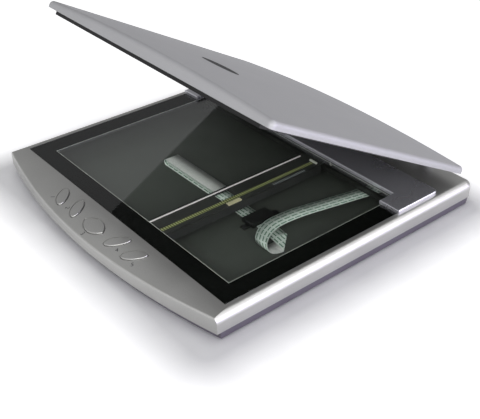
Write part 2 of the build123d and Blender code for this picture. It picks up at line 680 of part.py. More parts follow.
def hinge_leaves():
    """Leaf of each hinge: a barrel on the pin and a flat arm inside the cover."""
    leaves = []
    for side in (-1, 1):
        x = side * HINGE_SPACING / 2
        half = HINGE_LEAF_WIDTH / 2
        z0 = COVER_Z + LINER_THICKNESS + 0.2
        z1 = z0 + HINGE_LEAF_THICKNESS
        front = COVER_REAR_Y - HINGE_LEAF_REACH
        leaf = block(x - half, x + half, front, AXIS_Y, z0, z1)
        leaf += block(x - 14, x + 14, front, COVER_REAR_Y - 4, z0, z1)
        leaf += rod_along_x(x - half, x + half, AXIS_Y, AXIS_Z, HINGE_BARREL_RADIUS)
        leaf -= rod_along_x(x - 20, x + 20, AXIS_Y, AXIS_Z, HINGE_PIN_RADIUS + AXLE_CLEARANCE)
        for dx in (-9, 9):
            leaf -= post(x + dx, COVER_REAR_Y - 18, z0 - 1, z0 + 9, 1.3)
        leaves.append(leaf.solid())
    return Compound(leaves)


def crown_section(y, drop, crown):
    """Cross-section at y of the space under the cover's crowned top, lowered by drop."""
    half = COVER_WIDTH / 2
    radius = (half**2 + crown**2) / (2 * crown)
    side = COVER_Z + COVER_SIDE_HEIGHT - drop
    wide = half + 3
    edge_z = side + crown - radius + sqrt(radius**2 - wide**2)
    walls = Polyline((-wide, edge_z), (-wide, COVER_Z - 2), (wide, COVER_Z - 2), (wide, edge_z))
    top = ThreePointArc((wide, edge_z), (0, side + crown), (-wide, edge_z))
    return section_at(y) * make_face(walls + top)


def under_crown(drop):
    """The space under the cover's crowned top, lowered by drop."""
    stations = [
        (COVER_FRONT_Y - 3, COVER_FRONT_CROWN),
        ((COVER_FRONT_Y + COVER_REAR_Y) / 2, COVER_MIDDLE_CROWN),
        (COVER_REAR_Y + 3, COVER_REAR_CROWN),
    ]
    return loft([crown_section(y, drop, crown) for y, crown in stations])


def cover_form(skin):
    """Outer form of the cover, or of its hollow where skin is its wall."""
    half = COVER_WIDTH / 2 - skin
    front = COVER_FRONT_Y + skin
    rear = COVER_REAR_Y - skin
    bottom = COVER_Z - (1 if skin else 0)
    form = block(-half, half, front, rear, bottom, COVER_Z + 30)
    form = fillet(form.edges().filter_by(Axis.Z), COVER_CORNER_ROUND - skin)
    form = form & under_crown(skin)
    if skin == 0:
        top = form.faces().sort_by(lambda face: face.center().Z)[-1].edges()
        form = fillet(top, COVER_SIDE_ROUND)
    return form


def badge_prism(margin):
    """Upright oval column through the place of the inlay."""
    outline = Pos(0, COVER_FRONT_Y + BADGE_SETBACK, COVER_Z) * Ellipse(
        BADGE_LENGTH / 2 + margin, BADGE_WIDTH / 2 + margin
    )
    return extrude(outline, 40)


def cover_shell():
    """Crowned silver cover, hollow underneath."""
    shell = cover_form(0) - cover_form(COVER_WALL)
    for side in (-1, 1):
        x = side * HINGE_SPACING / 2
        notch = HINGE_LEAF_WIDTH / 2 + 0.4
        shell -= block(
            x - notch, x + notch, COVER_REAR_Y - COVER_WALL - 1, COVER_REAR_Y + 1,
            COVER_Z - 1, COVER_Z + LINER_THICKNESS + HINGE_LEAF_THICKNESS + 0.8,
        )
        for dx in (-9, 9):
            foot = COVER_Z + LINER_THICKNESS + 0.2 + HINGE_LEAF_THICKNESS
            shell += post(x + dx, COVER_REAR_Y - 18, foot, COVER_Z + 30, 3.0) & cover_form(0)
    shell -= badge_prism(0.1) & Pos(0, 0, -BADGE_DEPTH) * above_cover()
    return shell


def above_cover():
    """The space over the cover's crowned top."""
    return block(-60, 60, COVER_FRONT_Y + 20, COVER_REAR_Y - 20, COVER_Z, COVER_Z + 40) - cover_form(0)


def cover_badge():
    """Plain oval inlay that follows the crown, with nothing on it."""
    floor = Pos(0, 0, -BADGE_DEPTH) * above_cover()
    return badge_prism(0) & (floor - above_cover())


def cover_liner():
    """Black inner panel: a plate inside the cover and a frame that stands below it."""
    half = COVER_WIDTH / 2 - COVER_WALL - LINER_CLEARANCE
    front = COVER_FRONT_Y + COVER_WALL + LINER_CLEARANCE
    rear = COVER_REAR_Y - COVER_WALL - LINER_CLEARANCE
    z0 = COVER_Z
    liner = block(-half, half, front, rear, z0, z0 + LINER_THICKNESS)
    liner = fillet(liner.edges().filter_by(Axis.Z), COVER_CORNER_ROUND - COVER_WALL)
    wide = LINER_WIDTH / 2
    narrow = BEZEL_WIDTH / 2 - EAR_WIDTH - 1.3
    ear_y = BEZEL_FRONT_Y - EAR_LENGTH - 1.3
    rear_y = BEZEL_FRONT_Y - 1.6
    front_y = COVER_FRONT_Y + LINER_SETBACK
    step = Polyline(
        (-wide, front_y), (wide, front_y), (wide, ear_y), (narrow, ear_y), (narrow, rear_y),
        (-narrow, rear_y), (-narrow, ear_y), (-wide, ear_y), close=True,
    )
    liner += extrude(Pos(0, 0, COVER_Z - LINER_STEP) * make_face(step), LINER_STEP)
    liner -= pad_block(0.2, COVER_Z - LINER_STEP - 1, COVER_Z - 0.4)
    return liner


def pad_block(margin, z0, z1):
    """The space of the document pad inside the liner's frame."""
    half = PAD_WIDTH / 2 + margin
    front = COVER_FRONT_Y + LINER_SETBACK + PAD_MARGIN - margin
    rear = BEZEL_FRONT_Y - 1.6 - PAD_MARGIN + margin
    return block(-half, half, front, rear, z0, z1)


def pad_foam():
    """Foam that presses the document flat."""
    return pad_block(0, COVER_Z - LINER_STEP + PAD_SHEET_THICKNESS, COVER_Z - 0.4)


def pad_sheet():
    """Black sheet on the face of the foam."""
    return pad_block(0, COVER_Z - LINER_STEP, COVER_Z - LINER_STEP + PAD_SHEET_THICKNESS)


def cover_screws():
    """Screws that hold the hinge leaves to the cover."""
    screws = []
    for side in (-1, 1):
        x = side * HINGE_SPACING / 2
        for dx in (-9, 9):
            z0 = COVER_Z + LINER_THICKNESS + 0.2
            y = COVER_REAR_Y - 18
            screws.append(post(x + dx, y, z0, z0 + HINGE_LEAF_THICKNESS, 1.3).solid())
    return Compound(screws)


def guide_rod():
    """Ground steel rod that the carriage runs on."""
    length = HALF_WIDTH - HOUSING_WALL - 0.8
    rod = rod_along_x(-length, length, ROD_Y, ROD_Z, ROD_RADIUS)
    return chamfer(rod.edges(), 0.4)


def rod_clips():
    """Saddles that hold the ends of the rod to the floor."""
    clips = []
    for side in (-1, 1):
        x = side * (HALF_WIDTH - HOUSING_WALL - CLIP_MARGIN - CLIP_WIDTH / 2)
        x0 = x - CLIP_WIDTH / 2
        x1 = x + CLIP_WIDTH / 2
        half = CLIP_LENGTH / 2
        mouth = CLIP_MOUTH / 2
        clip = block(x0, x1, ROD_Y - half, ROD_Y + half, FLOOR_Z, ROD_Z + ROD_RADIUS + 1)
        clip -= rod_along_x(x0 - 1, x1 + 1, ROD_Y, ROD_Z, ROD_RADIUS)
        clip -= block(x0 - 1, x1 + 1, ROD_Y - mouth, ROD_Y + mouth, ROD_Z, DECK_Z)
        clips.append(clip.solid())
    return Compound(clips)


def rear_beam():
    """Black beam across the tub, just in front of the rod, that hides the works behind."""
    half = BEAM_LENGTH / 2
    y0 = BEAM_Y - BEAM_WIDTH / 2
    y1 = BEAM_Y + BEAM_WIDTH / 2
    beam = block(-half, half, y0, y1, BEAM_BOTTOM, BEAM_BOTTOM + BEAM_HEIGHT)
    for x in (-half + 3, half - 3):
        beam += block(x - 3, x + 3, y0, y1, FLOOR_Z, BEAM_BOTTOM + BEAM_HEIGHT)
    return beam


def carriage_x(offset):
    """X of a feature of the carriage at rest."""
    return CARRIAGE_X + offset


def carriage_frame():
    """Dark tray that carries the scan head, with an arm to the rod and a shelf for the belt."""
    half = CARRIAGE_WIDTH / 2
    x0 = CARRIAGE_X - half
    x1 = CARRIAGE_X + half
    y0 = CARRIAGE_FRONT_Y
    y1 = CARRIAGE_REAR_Y
    rim_z = HEAD_TOP_Z - 0.8
    frame = block(x0, x1, y0, y1, CARRIAGE_BOTTOM, rim_z)
    frame -= block(
        x0 + CARRIAGE_WALL, x1 - CARRIAGE_WALL, y0 + CARRIAGE_WALL, y1 - CARRIAGE_WALL,
        CARRIAGE_BOTTOM + 1.2, rim_z + 1,
    )
    slot_y = RIBBON_WIDTH / 2 + 0.6
    frame -= block(
        x0 + 2.4, x0 + 8, RIBBON_Y - slot_y, RIBBON_Y + slot_y, CARRIAGE_BOTTOM - 1, CARRIAGE_BOTTOM + 2
    )
    arm_z = BEAM_BOTTOM + BEAM_HEIGHT + 0.5
    block_half = 12.0
    ax0 = CARRIAGE_X - block_half
    ax1 = CARRIAGE_X + block_half
    frame += block(ax0, ax1, y1 - 0.5, ROD_Y + 6, arm_z, rim_z)
    bush_r = ROD_RADIUS + ROD_CLEARANCE + BUSHING_WALL
    frame += block(ax0, ax1, ROD_Y - 6, ROD_Y + 6, ROD_Z - ROD_RADIUS - 1.2, arm_z + 0.5)
    frame -= rod_along_x(ax0 - 1, ax1 + 1, ROD_Y, ROD_Z, ROD_RADIUS + 0.6)
    for x in (ax0, ax1 - BUSHING_LENGTH):
        frame -= rod_along_x(x - 0.01, x + BUSHING_LENGTH + 0.01, ROD_Y, ROD_Z, bush_r)
    near_run = BELT_Y - PITCH_RADIUS
    jaw_z = BELT_Z + BELT_WIDTH + 0.3
    jaw_y = near_run - BELT_THICKNESS / 2 - 0.1
    frame += block(CLAMP_X0, CLAMP_X1, ROD_Y + 5, jaw_y, BELT_Z, jaw_z)
    frame += block(CLAMP_X0, CLAMP_X1, ROD_Y + 5, near_run + 3, jaw_z, rim_z)
    fx0, fx1 = CARRIAGE_X - 15, CARRIAGE_X - 9
    flag_y = y0 - SENSOR_REACH
    frame += block(fx0, fx1, flag_y - 0.4, y0 + 1, FLAG_Z, FLAG_Z + 1.2)
    return frame + block(fx0, fx1, flag_y - 0.4, flag_y + 0.4, FLAG_Z - 5, FLAG_Z + 1.2)


def belt_clamp():
    """Inner jaw that nips the belt against the carriage."""
    near_run = BELT_Y - PITCH_RADIUS
    y0 = near_run + BELT_THICKNESS / 2 + 0.1
    return block(CLAMP_X0, CLAMP_X1, y0, y0 + 1.8, BELT_Z, BELT_Z + BELT_WIDTH + 0.3)


def rod_bushings():
    """Plain bearings of the carriage on the rod."""
    bushings = []
    radius = ROD_RADIUS + ROD_CLEARANCE
    for x in (CARRIAGE_X - 12, CARRIAGE_X + 12 - BUSHING_LENGTH):
        outer = rod_along_x(x, x + BUSHING_LENGTH, ROD_Y, ROD_Z, radius + BUSHING_WALL)
        bore = rod_along_x(x - 1, x + BUSHING_LENGTH + 1, ROD_Y, ROD_Z, radius)
        bushings.append((outer - bore).solid())
    return Compound(bushings)


def slide_shoe():
    """Low-friction pad under the front end of the carriage."""
    y0 = CARRIAGE_FRONT_Y + 0.4
    y1 = y0 + FRONT_RAIL_WIDTH
    return block(CARRIAGE_X - 12, CARRIAGE_X + 12, y0, y1, FRONT_RAIL_TOP + 0.1, CARRIAGE_BOTTOM)


def head_inside():
    """Plan limits of the scan head inside the carriage tray."""
    x0 = CARRIAGE_X - CARRIAGE_WIDTH / 2 + CARRIAGE_WALL + HEAD_GAP
    x1 = CARRIAGE_X + CARRIAGE_WIDTH / 2 - CARRIAGE_WALL - HEAD_GAP
    y0 = CARRIAGE_FRONT_Y + CARRIAGE_WALL + HEAD_GAP
    y1 = CARRIAGE_REAR_Y - CARRIAGE_WALL - HEAD_GAP
    return x0, x1, y0, y1


def head_housing():
    """Black moulded scan head with one channel for the light guide and one for the lenses."""
    x0, x1, y0, y1 = head_inside()
    head = block(x0, x1, y0, y1, HEAD_BOTTOM_Z, HEAD_TOP_Z)
    for offset, width in ((LIGHT_OFFSET, LIGHT_WIDTH), (LENS_OFFSET, LENS_WIDTH)):
        x = carriage_x(offset)
        head -= block(
            x - width / 2, x + width / 2, y0 + 2, y1 - 2, HEAD_TOP_Z - GROOVE_DEPTH, HEAD_TOP_Z + 1
        )
    head -= block(x0 + 1.2, x1 - 1.2, y0 + 1.5, y1 - 1.5, HEAD_BOTTOM_Z - 1, HEAD_BOTTOM_Z + 2.6)
    x = carriage_x(LIGHT_OFFSET) + LIGHT_WIDTH / 2 + 1.2
    x_end = carriage_x(LENS_OFFSET) - LENS_WIDTH / 2 - 0.8
    y0 = HEAD_RIBBON_Y - HEAD_RIBBON_WIDTH / 2 - 0.6
    y1 = HEAD_RIBBON_Y + HEAD_RIBBON_WIDTH / 2 + 0.6
    head -= block(x, x_end, y0, y1, HEAD_TOP_Z - RECESS_DEPTH, HEAD_TOP_Z + 1)
    x = carriage_x(LENS_OFFSET) + LENS_WIDTH / 2 + 0.8
    return head - block(x, x1 + 1, y0, y1, HEAD_TOP_Z - RECESS_DEPTH, HEAD_TOP_Z + 1)


def head_ribbon():
    """Short flat lead that lies on the head between the light guide and the lenses."""
    x0 = carriage_x(LIGHT_OFFSET) + LIGHT_WIDTH / 2 + 1.3
    x1 = carriage_x(LENS_OFFSET) - LENS_WIDTH / 2 - 0.9
    z = HEAD_TOP_Z - RECESS_DEPTH
    half = HEAD_RIBBON_WIDTH / 2
    return block(x0, x1, HEAD_RIBBON_Y - half, HEAD_RIBBON_Y + half, z, z + RIBBON_THICKNESS)


def head_connector():
    """Cream connector of the scan head, beside the lenses."""
    _, x1, _, _ = head_inside()
    x0 = carriage_x(LENS_OFFSET) + LENS_WIDTH / 2 + 0.9
    half = HEAD_RIBBON_WIDTH / 2 + 0.4
    y0 = HEAD_RIBBON_Y - half
    return block(x0, x1, y0, y0 + 2 * half, HEAD_TOP_Z - RECESS_DEPTH, HEAD_TOP_Z)


def light_guide():
    """Clear bar that spreads the lamp's light along the read line."""
    _, _, y0, y1 = head_inside()
    x = carriage_x(LIGHT_OFFSET)
    half = LIGHT_WIDTH / 2
    bar = block(x - half, x + half, y0 + 2, y1 - 2, HEAD_TOP_Z - GROOVE_DEPTH, HEAD_TOP_Z)
    return chamfer(bar.faces().sort_by(Axis.Z)[-1].edges().filter_by(Axis.Y), 0.7)


def lens_array():
    """Row of rod lenses between two backing strips."""
    _, _, y0, y1 = head_inside()
    x = carriage_x(LENS_OFFSET)
    half = LENS_WIDTH / 2
    bar = block(x - half, x + half, y0 + 2, y1 - 2, HEAD_TOP_Z - GROOVE_DEPTH, HEAD_TOP_Z)
    return bar - block(x - 0.5, x + 0.5, y0 + 3, y1 - 3, HEAD_TOP_Z - 0.4, HEAD_TOP_Z + 1)


def sensor_board():
    """Circuit board closing the scan head from below."""
    x0, x1, y0, y1 = head_inside()
    return block(x0 + 1.4, x1 - 1.4, y0 + 1.7, y1 - 1.7, HEAD_BOTTOM_Z, HEAD_BOTTOM_Z + 1.0)


def head_springs():
    """Bent steel strips that press the head up against its spacers."""
    springs = []
    z0 = CARRIAGE_BOTTOM + 1.2
    rise = HEAD_BOTTOM_Z - z0
    end = SPRING_REACH
    knee = SPRING_REACH - SPRING_FOOT
    thick = SPRING_THICKNESS
    for y in (CARRIAGE_FRONT_Y + SPRING_INSET, CARRIAGE_REAR_Y - SPRING_INSET):
        line = [(y - end, z0), (y - knee, z0), (y, z0 + rise - thick), (y + knee, z0), (y + end, z0)]
        upper = [(a, b + thick) for a, b in reversed(line)]
        outline = make_face(Polyline(*line, *upper, close=True))
        spring = Pos(CARRIAGE_X - SPRING_WIDTH / 2, 0, 0) * extrude(Plane.YZ * outline, SPRING_WIDTH)
        springs.append(spring.solid())
    return Compound(springs)


def glass_spacers():
    """Slippery buttons on the head that run along the underside of the glass."""
    _, _, y0, y1 = head_inside()
    x0 = carriage_x(SPACER_OFFSET)
    top = GLASS_Z - MASK_THICKNESS - 0.1
    pads = []
    for y in (y0, y1 - SPACER_WIDTH):
        pads.append(block(x0, x0 + SPACER_LENGTH, y, y + SPACER_WIDTH, HEAD_TOP_Z, top))
    return Compound(pads)


def tooth_outline(teeth):
    """Plan outline of a spur gear with involute flanks, one tooth on local +X."""
    pitch = GEAR_MODULE * teeth / 2
    base = pitch * cos(radians(PRESSURE_ANGLE))
    tip = pitch + 0.9 * GEAR_MODULE
    root = pitch - 1.2 * GEAR_MODULE
    thickness = pi * GEAR_MODULE / 2 - BACKLASH

    def half_angle(radius):
        """Half the tooth's angle at a radius."""
        spread = tan(radians(PRESSURE_ANGLE)) - radians(PRESSURE_ANGLE)
        if radius <= base:
            return thickness / (2 * pitch) + spread
        lean = acos(base / radius)
        return thickness / (2 * pitch) + spread - (tan(lean) - lean)

    start = max(base, root)
    radii = [root, start + 0.01, (start + tip) / 2, tip]
    points = []
    for tooth in range(teeth):
        middle = 2 * pi * tooth / teeth
        flank = [(r, half_angle(r)) for r in radii]
        points += [(r * cos(middle - a), r * sin(middle - a)) for r, a in flank]
        points += [(r * cos(middle + a), r * sin(middle + a)) for r, a in reversed(flank)]
    return make_face(Polyline(*points, close=True))


def gear(x, y, z, teeth, turn):
    """A spur gear blank with teeth, in place."""
    return Pos(x, y, z) * Rot(0, 0, turn) * extrude(tooth_outline(teeth), GEAR_FACE)


def meshing_turn(teeth, followed_teeth, followed_turn, angle):
    """Turn that puts a tooth space of one gear on a tooth of the gear that it meets.

    angle is the direction from the followed gear's centre to this gear's centre."""
    phase = (angle - followed_turn) / (360 / followed_teeth)
    return angle + 180 - (0.5 - phase) * 360 / teeth


def drive_pulley():
    """Toothed wheel and belt pulley moulded as one piece."""
    wheel = gear(DRIVE_X, BELT_Y, UPPER_GEAR_Z, WHEEL_TEETH, 0)
    wheel += pulley(DRIVE_X)
    wheel += post(DRIVE_X, BELT_Y, UPPER_GEAR_Z, BELT_Z, 4.0)
    return wheel - post(DRIVE_X, BELT_Y, 0, DECK_Z, AXLE_RADIUS + AXLE_CLEARANCE)


def pulley(x):
    """Grooved belt pulley with a flange above and below."""
    radius = PITCH_RADIUS - BELT_THICKNESS / 2 - PULLEY_CLEARANCE
    body = post(x, BELT_Y, BELT_Z - 0.2, BELT_Z + BELT_WIDTH + 0.2, radius)
    for tooth in range(PULLEY_TEETH):
        groove = block(radius - 0.7, radius + 1, -0.6, 0.6, BELT_Z - 0.2, BELT_Z + BELT_WIDTH + 0.2)
        body -= Pos(x, BELT_Y, 0) * Rot(0, 0, 360 * tooth / PULLEY_TEETH) * groove
    top = BELT_Z + BELT_WIDTH + 0.2
    body += post(x, BELT_Y, BELT_Z - 0.2 - FLANGE_THICKNESS, BELT_Z - 0.2, FLANGE_RADIUS)
    body += post(x, BELT_Y, top, top + FLANGE_THICKNESS, FLANGE_RADIUS)
    return body


def idler_pulley():
    """Free pulley at the far end of the belt."""
    return pulley(IDLER_X) - post(IDLER_X, BELT_Y, 0, DECK_Z, AXLE_RADIUS + AXLE_CLEARANCE)


def stage_turn():
    """Turn of the compound gear about its axle at rest."""
    return meshing_turn(PINION_TEETH, WHEEL_TEETH, 0, STAGE_ANGLE)


def reduction_gear():
    """Compound gear between the motor and the drive pulley."""
    wheel = gear(STAGE_X, STAGE_Y, LOWER_GEAR_Z, WHEEL_TEETH, stage_turn())
    wheel += gear(STAGE_X, STAGE_Y, UPPER_GEAR_Z, PINION_TEETH, stage_turn())
    wheel += post(STAGE_X, STAGE_Y, LOWER_GEAR_Z + 1, UPPER_GEAR_Z + 1, 2.6)
    return wheel - post(STAGE_X, STAGE_Y, 0, DECK_Z, AXLE_RADIUS + AXLE_CLEARANCE)


def motor_pinion():
    """Pinion on the end of the motor shaft, and the shaft itself."""
    turn = meshing_turn(PINION_TEETH, WHEEL_TEETH, stage_turn(), MOTOR_ANGLE)
    pinion = gear(MOTOR_X, MOTOR_Y, LOWER_GEAR_Z, PINION_TEETH, turn)
    return pinion + post(MOTOR_X, MOTOR_Y, LOWER_GEAR_Z, MOTOR_Z + 1, 1.0)


def drive_motor():
    """Flat stepper motor with a mounting flange."""
    can = post(MOTOR_X, MOTOR_Y, MOTOR_Z, MOTOR_Z + MOTOR_HEIGHT, MOTOR_RADIUS)
    can = fillet(can.edges().sort_by(Axis.Z)[-1], 1.2)
    return can - post(MOTOR_X, MOTOR_Y, MOTOR_Z - 1, MOTOR_Z + 1.5, 1.1)


def motor_bracket():
    """Steel plate on legs that carries the motor over its pinion."""
    x0, x1 = MOTOR_X - MOTOR_RADIUS - 1, MOTOR_X + MOTOR_RADIUS + 6
    y0, y1 = MOTOR_Y - MOTOR_RADIUS, MOTOR_Y + MOTOR_RADIUS + 4
    z0 = MOTOR_Z - BRACKET_THICKNESS
    plate = block(MOTOR_X - 4, x1, MOTOR_Y - 6, y1, z0, MOTOR_Z)
    plate += block(x0, x1, y1 - 6, y1, z0, MOTOR_Z)
    plate -= post(MOTOR_X, MOTOR_Y, 0, DECK_Z, 2.2)
    plate += block(x1 - BRACKET_THICKNESS, x1, MOTOR_Y - 6, y1, FLOOR_Z, MOTOR_Z)
    plate += block(x0, x0 + 8, y1 - BRACKET_THICKNESS, y1, FLOOR_Z, MOTOR_Z)
    return plate


def gear_axles():
    """Fixed steel pins on which the pulleys and the compound gear turn."""
    tops = [
        (DRIVE_X, BELT_Y, FLOOR_Z - 1, BELT_Z + BELT_WIDTH + 2.2),
        (STAGE_X, STAGE_Y, FLOOR_Z - 1, UPPER_GEAR_Z + GEAR_FACE + 0.2),
        (IDLER_X, BELT_Y, IDLER_PLATE_Z, BELT_Z + BELT_WIDTH + 2.2),
    ]
    return Compound([post(x, y, z0, z1, AXLE_RADIUS).solid() for x, y, z0, z1 in tops])


def idler_bracket():
    """Sliding steel plate that carries the idler and keeps the belt tight."""
    top = IDLER_PLATE_Z + 1.5
    plate = block(IDLER_X - 8, IDLER_X + 8, BELT_Y - 7, BELT_Y + 7, IDLER_PLATE_Z, top)
    plate -= post(IDLER_X, BELT_Y, 0, DECK_Z, AXLE_RADIUS)
    for y in (BELT_Y - 7, BELT_Y + 5.5):
        plate += block(IDLER_X - 8, IDLER_X - 3, y, y + 1.5, FLOOR_Z, IDLER_PLATE_Z + 0.5)
    return plate


def tension_spring():
    """Bent spring strip that pushes the idler plate outwards."""
    plate = IDLER_X - 8
    thick = 0.4
    line = [(-14, 4), (-8, 4), (-0.3, 0), (-8, -4), (-14, -4)]
    back = [(-14, thick - 4), (-8.2, thick - 4), (-1, 0), (-8.2, 4 - thick), (-14, 4 - thick)]
    outline = make_face(Polyline(*[(plate + x, BELT_Y + y) for x, y in line + back], close=True))
    return extrude(Pos(0, 0, FLOOR_Z) * outline, IDLER_PLATE_Z + 0.6 - FLOOR_Z)


def drive_belt():
    """Closed belt around both pulleys."""
    length = IDLER_X - DRIVE_X
    middle = (IDLER_X + DRIVE_X) / 2
    outer = SlotCenterToCenter(length, 2 * PITCH_RADIUS + BELT_THICKNESS)
    inner = SlotCenterToCenter(length, 2 * PITCH_RADIUS - BELT_THICKNESS)
    return extrude(Pos(middle, BELT_Y, BELT_Z) * (outer - inner), BELT_WIDTH)


def main_board():
    """Control board at the rear, with a tongue under the data socket."""
    board = block(BOARD_X0, BOARD_X1, BOARD_Y0, BOARD_Y1, BOARD_Z, BOARD_TOP_Z)
    reach = SOCKET_TONGUE_WIDTH / 2
    rear = REAR_Y - HOUSING_WALL - 1
    return board + block(USB_X - reach, USB_X + reach, BOARD_Y1 - 1, rear, BOARD_Z, BOARD_TOP_Z)


def board_chips():
    """Chips, connectors and tall parts on the control board."""
    # Each as x, y on the board, then its length, width and height.
    parts = [
        (10.0, 7.0, 14.0, 14.0, 1.4),
        (30.0, 5.0, 8.0, 12.0, 1.1),
        (6.0, 8.0, 3.5, 7.0, 3.0),
        (68.0, 15.0, 6.0, 8.0, 5.0),
        (RIBBON_END_X - RIBBON_WIDTH / 2 - 1 - BOARD_X0, 1.0, RIBBON_WIDTH + 2, 5.0, 2.4),
    ]
    blocks = []
    for x, y, length, width, height in parts:
        x0 = BOARD_X0 + x
        y0 = BOARD_Y0 + y
        blocks.append(block(x0, x0 + length, y0, y0 + width, BOARD_TOP_Z, BOARD_TOP_Z + height))
    return Compound(blocks)


def usb_socket():
    """Square data socket with a tongue inside its metal shell."""
    z0 = BOARD_TOP_Z
    y1 = REAR_Y - 0.4
    y0 = y1 - USB_DEPTH
    half = USB_WIDTH / 2
    shell = block(USB_X - half, USB_X + half, y0, y1, z0, z0 + USB_HEIGHT)
    shell = chamfer(shell.edges().filter_by(Axis.Y).group_by(Axis.Z)[-1], 1.8)
    inner = half - USB_WALL
    bore = block(
        USB_X - inner, USB_X + inner, y0 + 3, y1 + 1, z0 + USB_WALL, z0 + USB_HEIGHT - USB_WALL
    )
    bore = chamfer(bore.edges().filter_by(Axis.Y).group_by(Axis.Z)[-1], 1.6)
    shell -= bore
    shell += block(USB_X - 2.7, USB_X + 2.7, y0 + 2, y1 - 3, z0 + 3.9, z0 + 7.1)
    return shell


def button_board():
    """Narrow board under the panel that carries the switches."""
    return block(
        -PANEL_BOARD_HALF, PANEL_BOARD_HALF, PANEL_BOARD_Y0, PANEL_BOARD_Y1,
        PANEL_BOARD_Z, PANEL_BOARD_Z + BOARD_THICKNESS,
    )


def switch_place(number):
    """Centre of the switch under a button."""
    x, y, _ = BUTTON_PLACES[number]
    return x, y


def tact_switches():
    """Five small push switches, one under each button."""
    switches = []
    z0 = PANEL_BOARD_Z + BOARD_THICKNESS
    half = SWITCH_SIZE / 2
    for number in BUTTON_PLACES:
        x, y = switch_place(number)
        body = block(x - half, x + half, y - half, y + half, z0, z0 + SWITCH_HEIGHT - 0.8)
        body += post(x, y, z0, z0 + SWITCH_HEIGHT, 1.7)
        switches.append(body.solid())
    return Compound(switches)


def button(number):
    """One key: a domed cap, a flange that keeps it in the panel and a stem to its switch."""
    x, y = switch_place(number)
    reach = CENTRE_WIDTH / 2 if number == 3 else BUTTON_LENGTH / 2 * sin(radians(INNER_BUTTON_TURN))
    z_flange = panel_z(y - reach - FLANGE_MARGIN) - HOUSING_WALL - FLANGE_HEIGHT - 0.3
    cap = extrude(Pos(0, 0, z_flange) * button_outline(number, 0), 12)
    cap -= above_panel(-BUTTON_PROUD)
    top = cap.faces().sort_by(lambda face: face.center().Z)[-1]
    cap = fillet(top.edges(), BUTTON_ROUND)
    flange = extrude(Pos(0, 0, z_flange) * button_outline(number, FLANGE_MARGIN), FLANGE_HEIGHT)
    stem_z = PANEL_BOARD_Z + BOARD_THICKNESS + SWITCH_HEIGHT + BUTTON_TRAVEL + 0.1
    return cap + flange + post(x, y, stem_z, z_flange + FLANGE_HEIGHT, 2.0)


def home_sensor():
    """Slotted light barrier that marks the carriage's home."""
    x0 = HOME_X - 3
    y = CARRIAGE_FRONT_Y - SENSOR_REACH
    body = block(x0, x0 + 6, y - 4, y + 4, FLOOR_Z, FLOOR_Z + SENSOR_HEIGHT)
    return body - block(x0 - 1, x0 + 7, y - 1, y + 1, FLOOR_Z + 2, FLOOR_Z + SENSOR_HEIGHT + 1)


def ferrite_block():
    """Black ferrite sleeve around the ribbon, with a screw lug at each end."""
    half = FERRITE_BODY_LENGTH / 2
    x0 = FERRITE_X - FERRITE_WIDTH / 2
    x1 = FERRITE_X + FERRITE_WIDTH / 2
    body = block(x0, x1, RIBBON_Y - half, RIBBON_Y + half, FLOOR_Z, FLOOR_Z + FERRITE_HEIGHT)
    body = chamfer(body.edges().filter_by(Axis.X).group_by(Axis.Z)[-1], 0.6)
    reach = FERRITE_SCREW_SPACING / 2 + 2.8
    lug0 = ferrite_screw_places()[0][0] - 3.4
    body += block(
        lug0, lug0 + 6.8, RIBBON_Y - reach, RIBBON_Y + reach, FLOOR_Z, FLOOR_Z + LUG_THICKNESS
    )
    for x, y in ferrite_screw_places():
        body -= post(x, y, 0, DECK_Z, SMALL_SCREW_RADIUS)
    slot = RIBBON_WIDTH / 2 + 0.3
    slot_top = RIBBON_Z + RIBBON_THICKNESS + 0.1
    return body - block(x0 - 1, x1 + 1, RIBBON_Y - slot, RIBBON_Y + slot, FLOOR_Z, slot_top)


def ferrite_screw_places():
    """Centres of the two screws that hold the ferrite sleeve."""
    half = FERRITE_SCREW_SPACING / 2
    x = FERRITE_X + FERRITE_SCREW_OFFSET
    return [(x, RIBBON_Y - half), (x, RIBBON_Y + half)]


def inner_screws():
    """Small screws through the lugs of the ferrite sleeve."""
    screws = []
    z = FLOOR_Z + LUG_THICKNESS
    for x, y in ferrite_screw_places():
        screw = post(x, y, FLOOR_Z, z + 0.1, SMALL_SCREW_RADIUS)
        screws.append((screw + post(x, y, z, z + 1.0, 2.0)).solid())
    return Compound(screws)


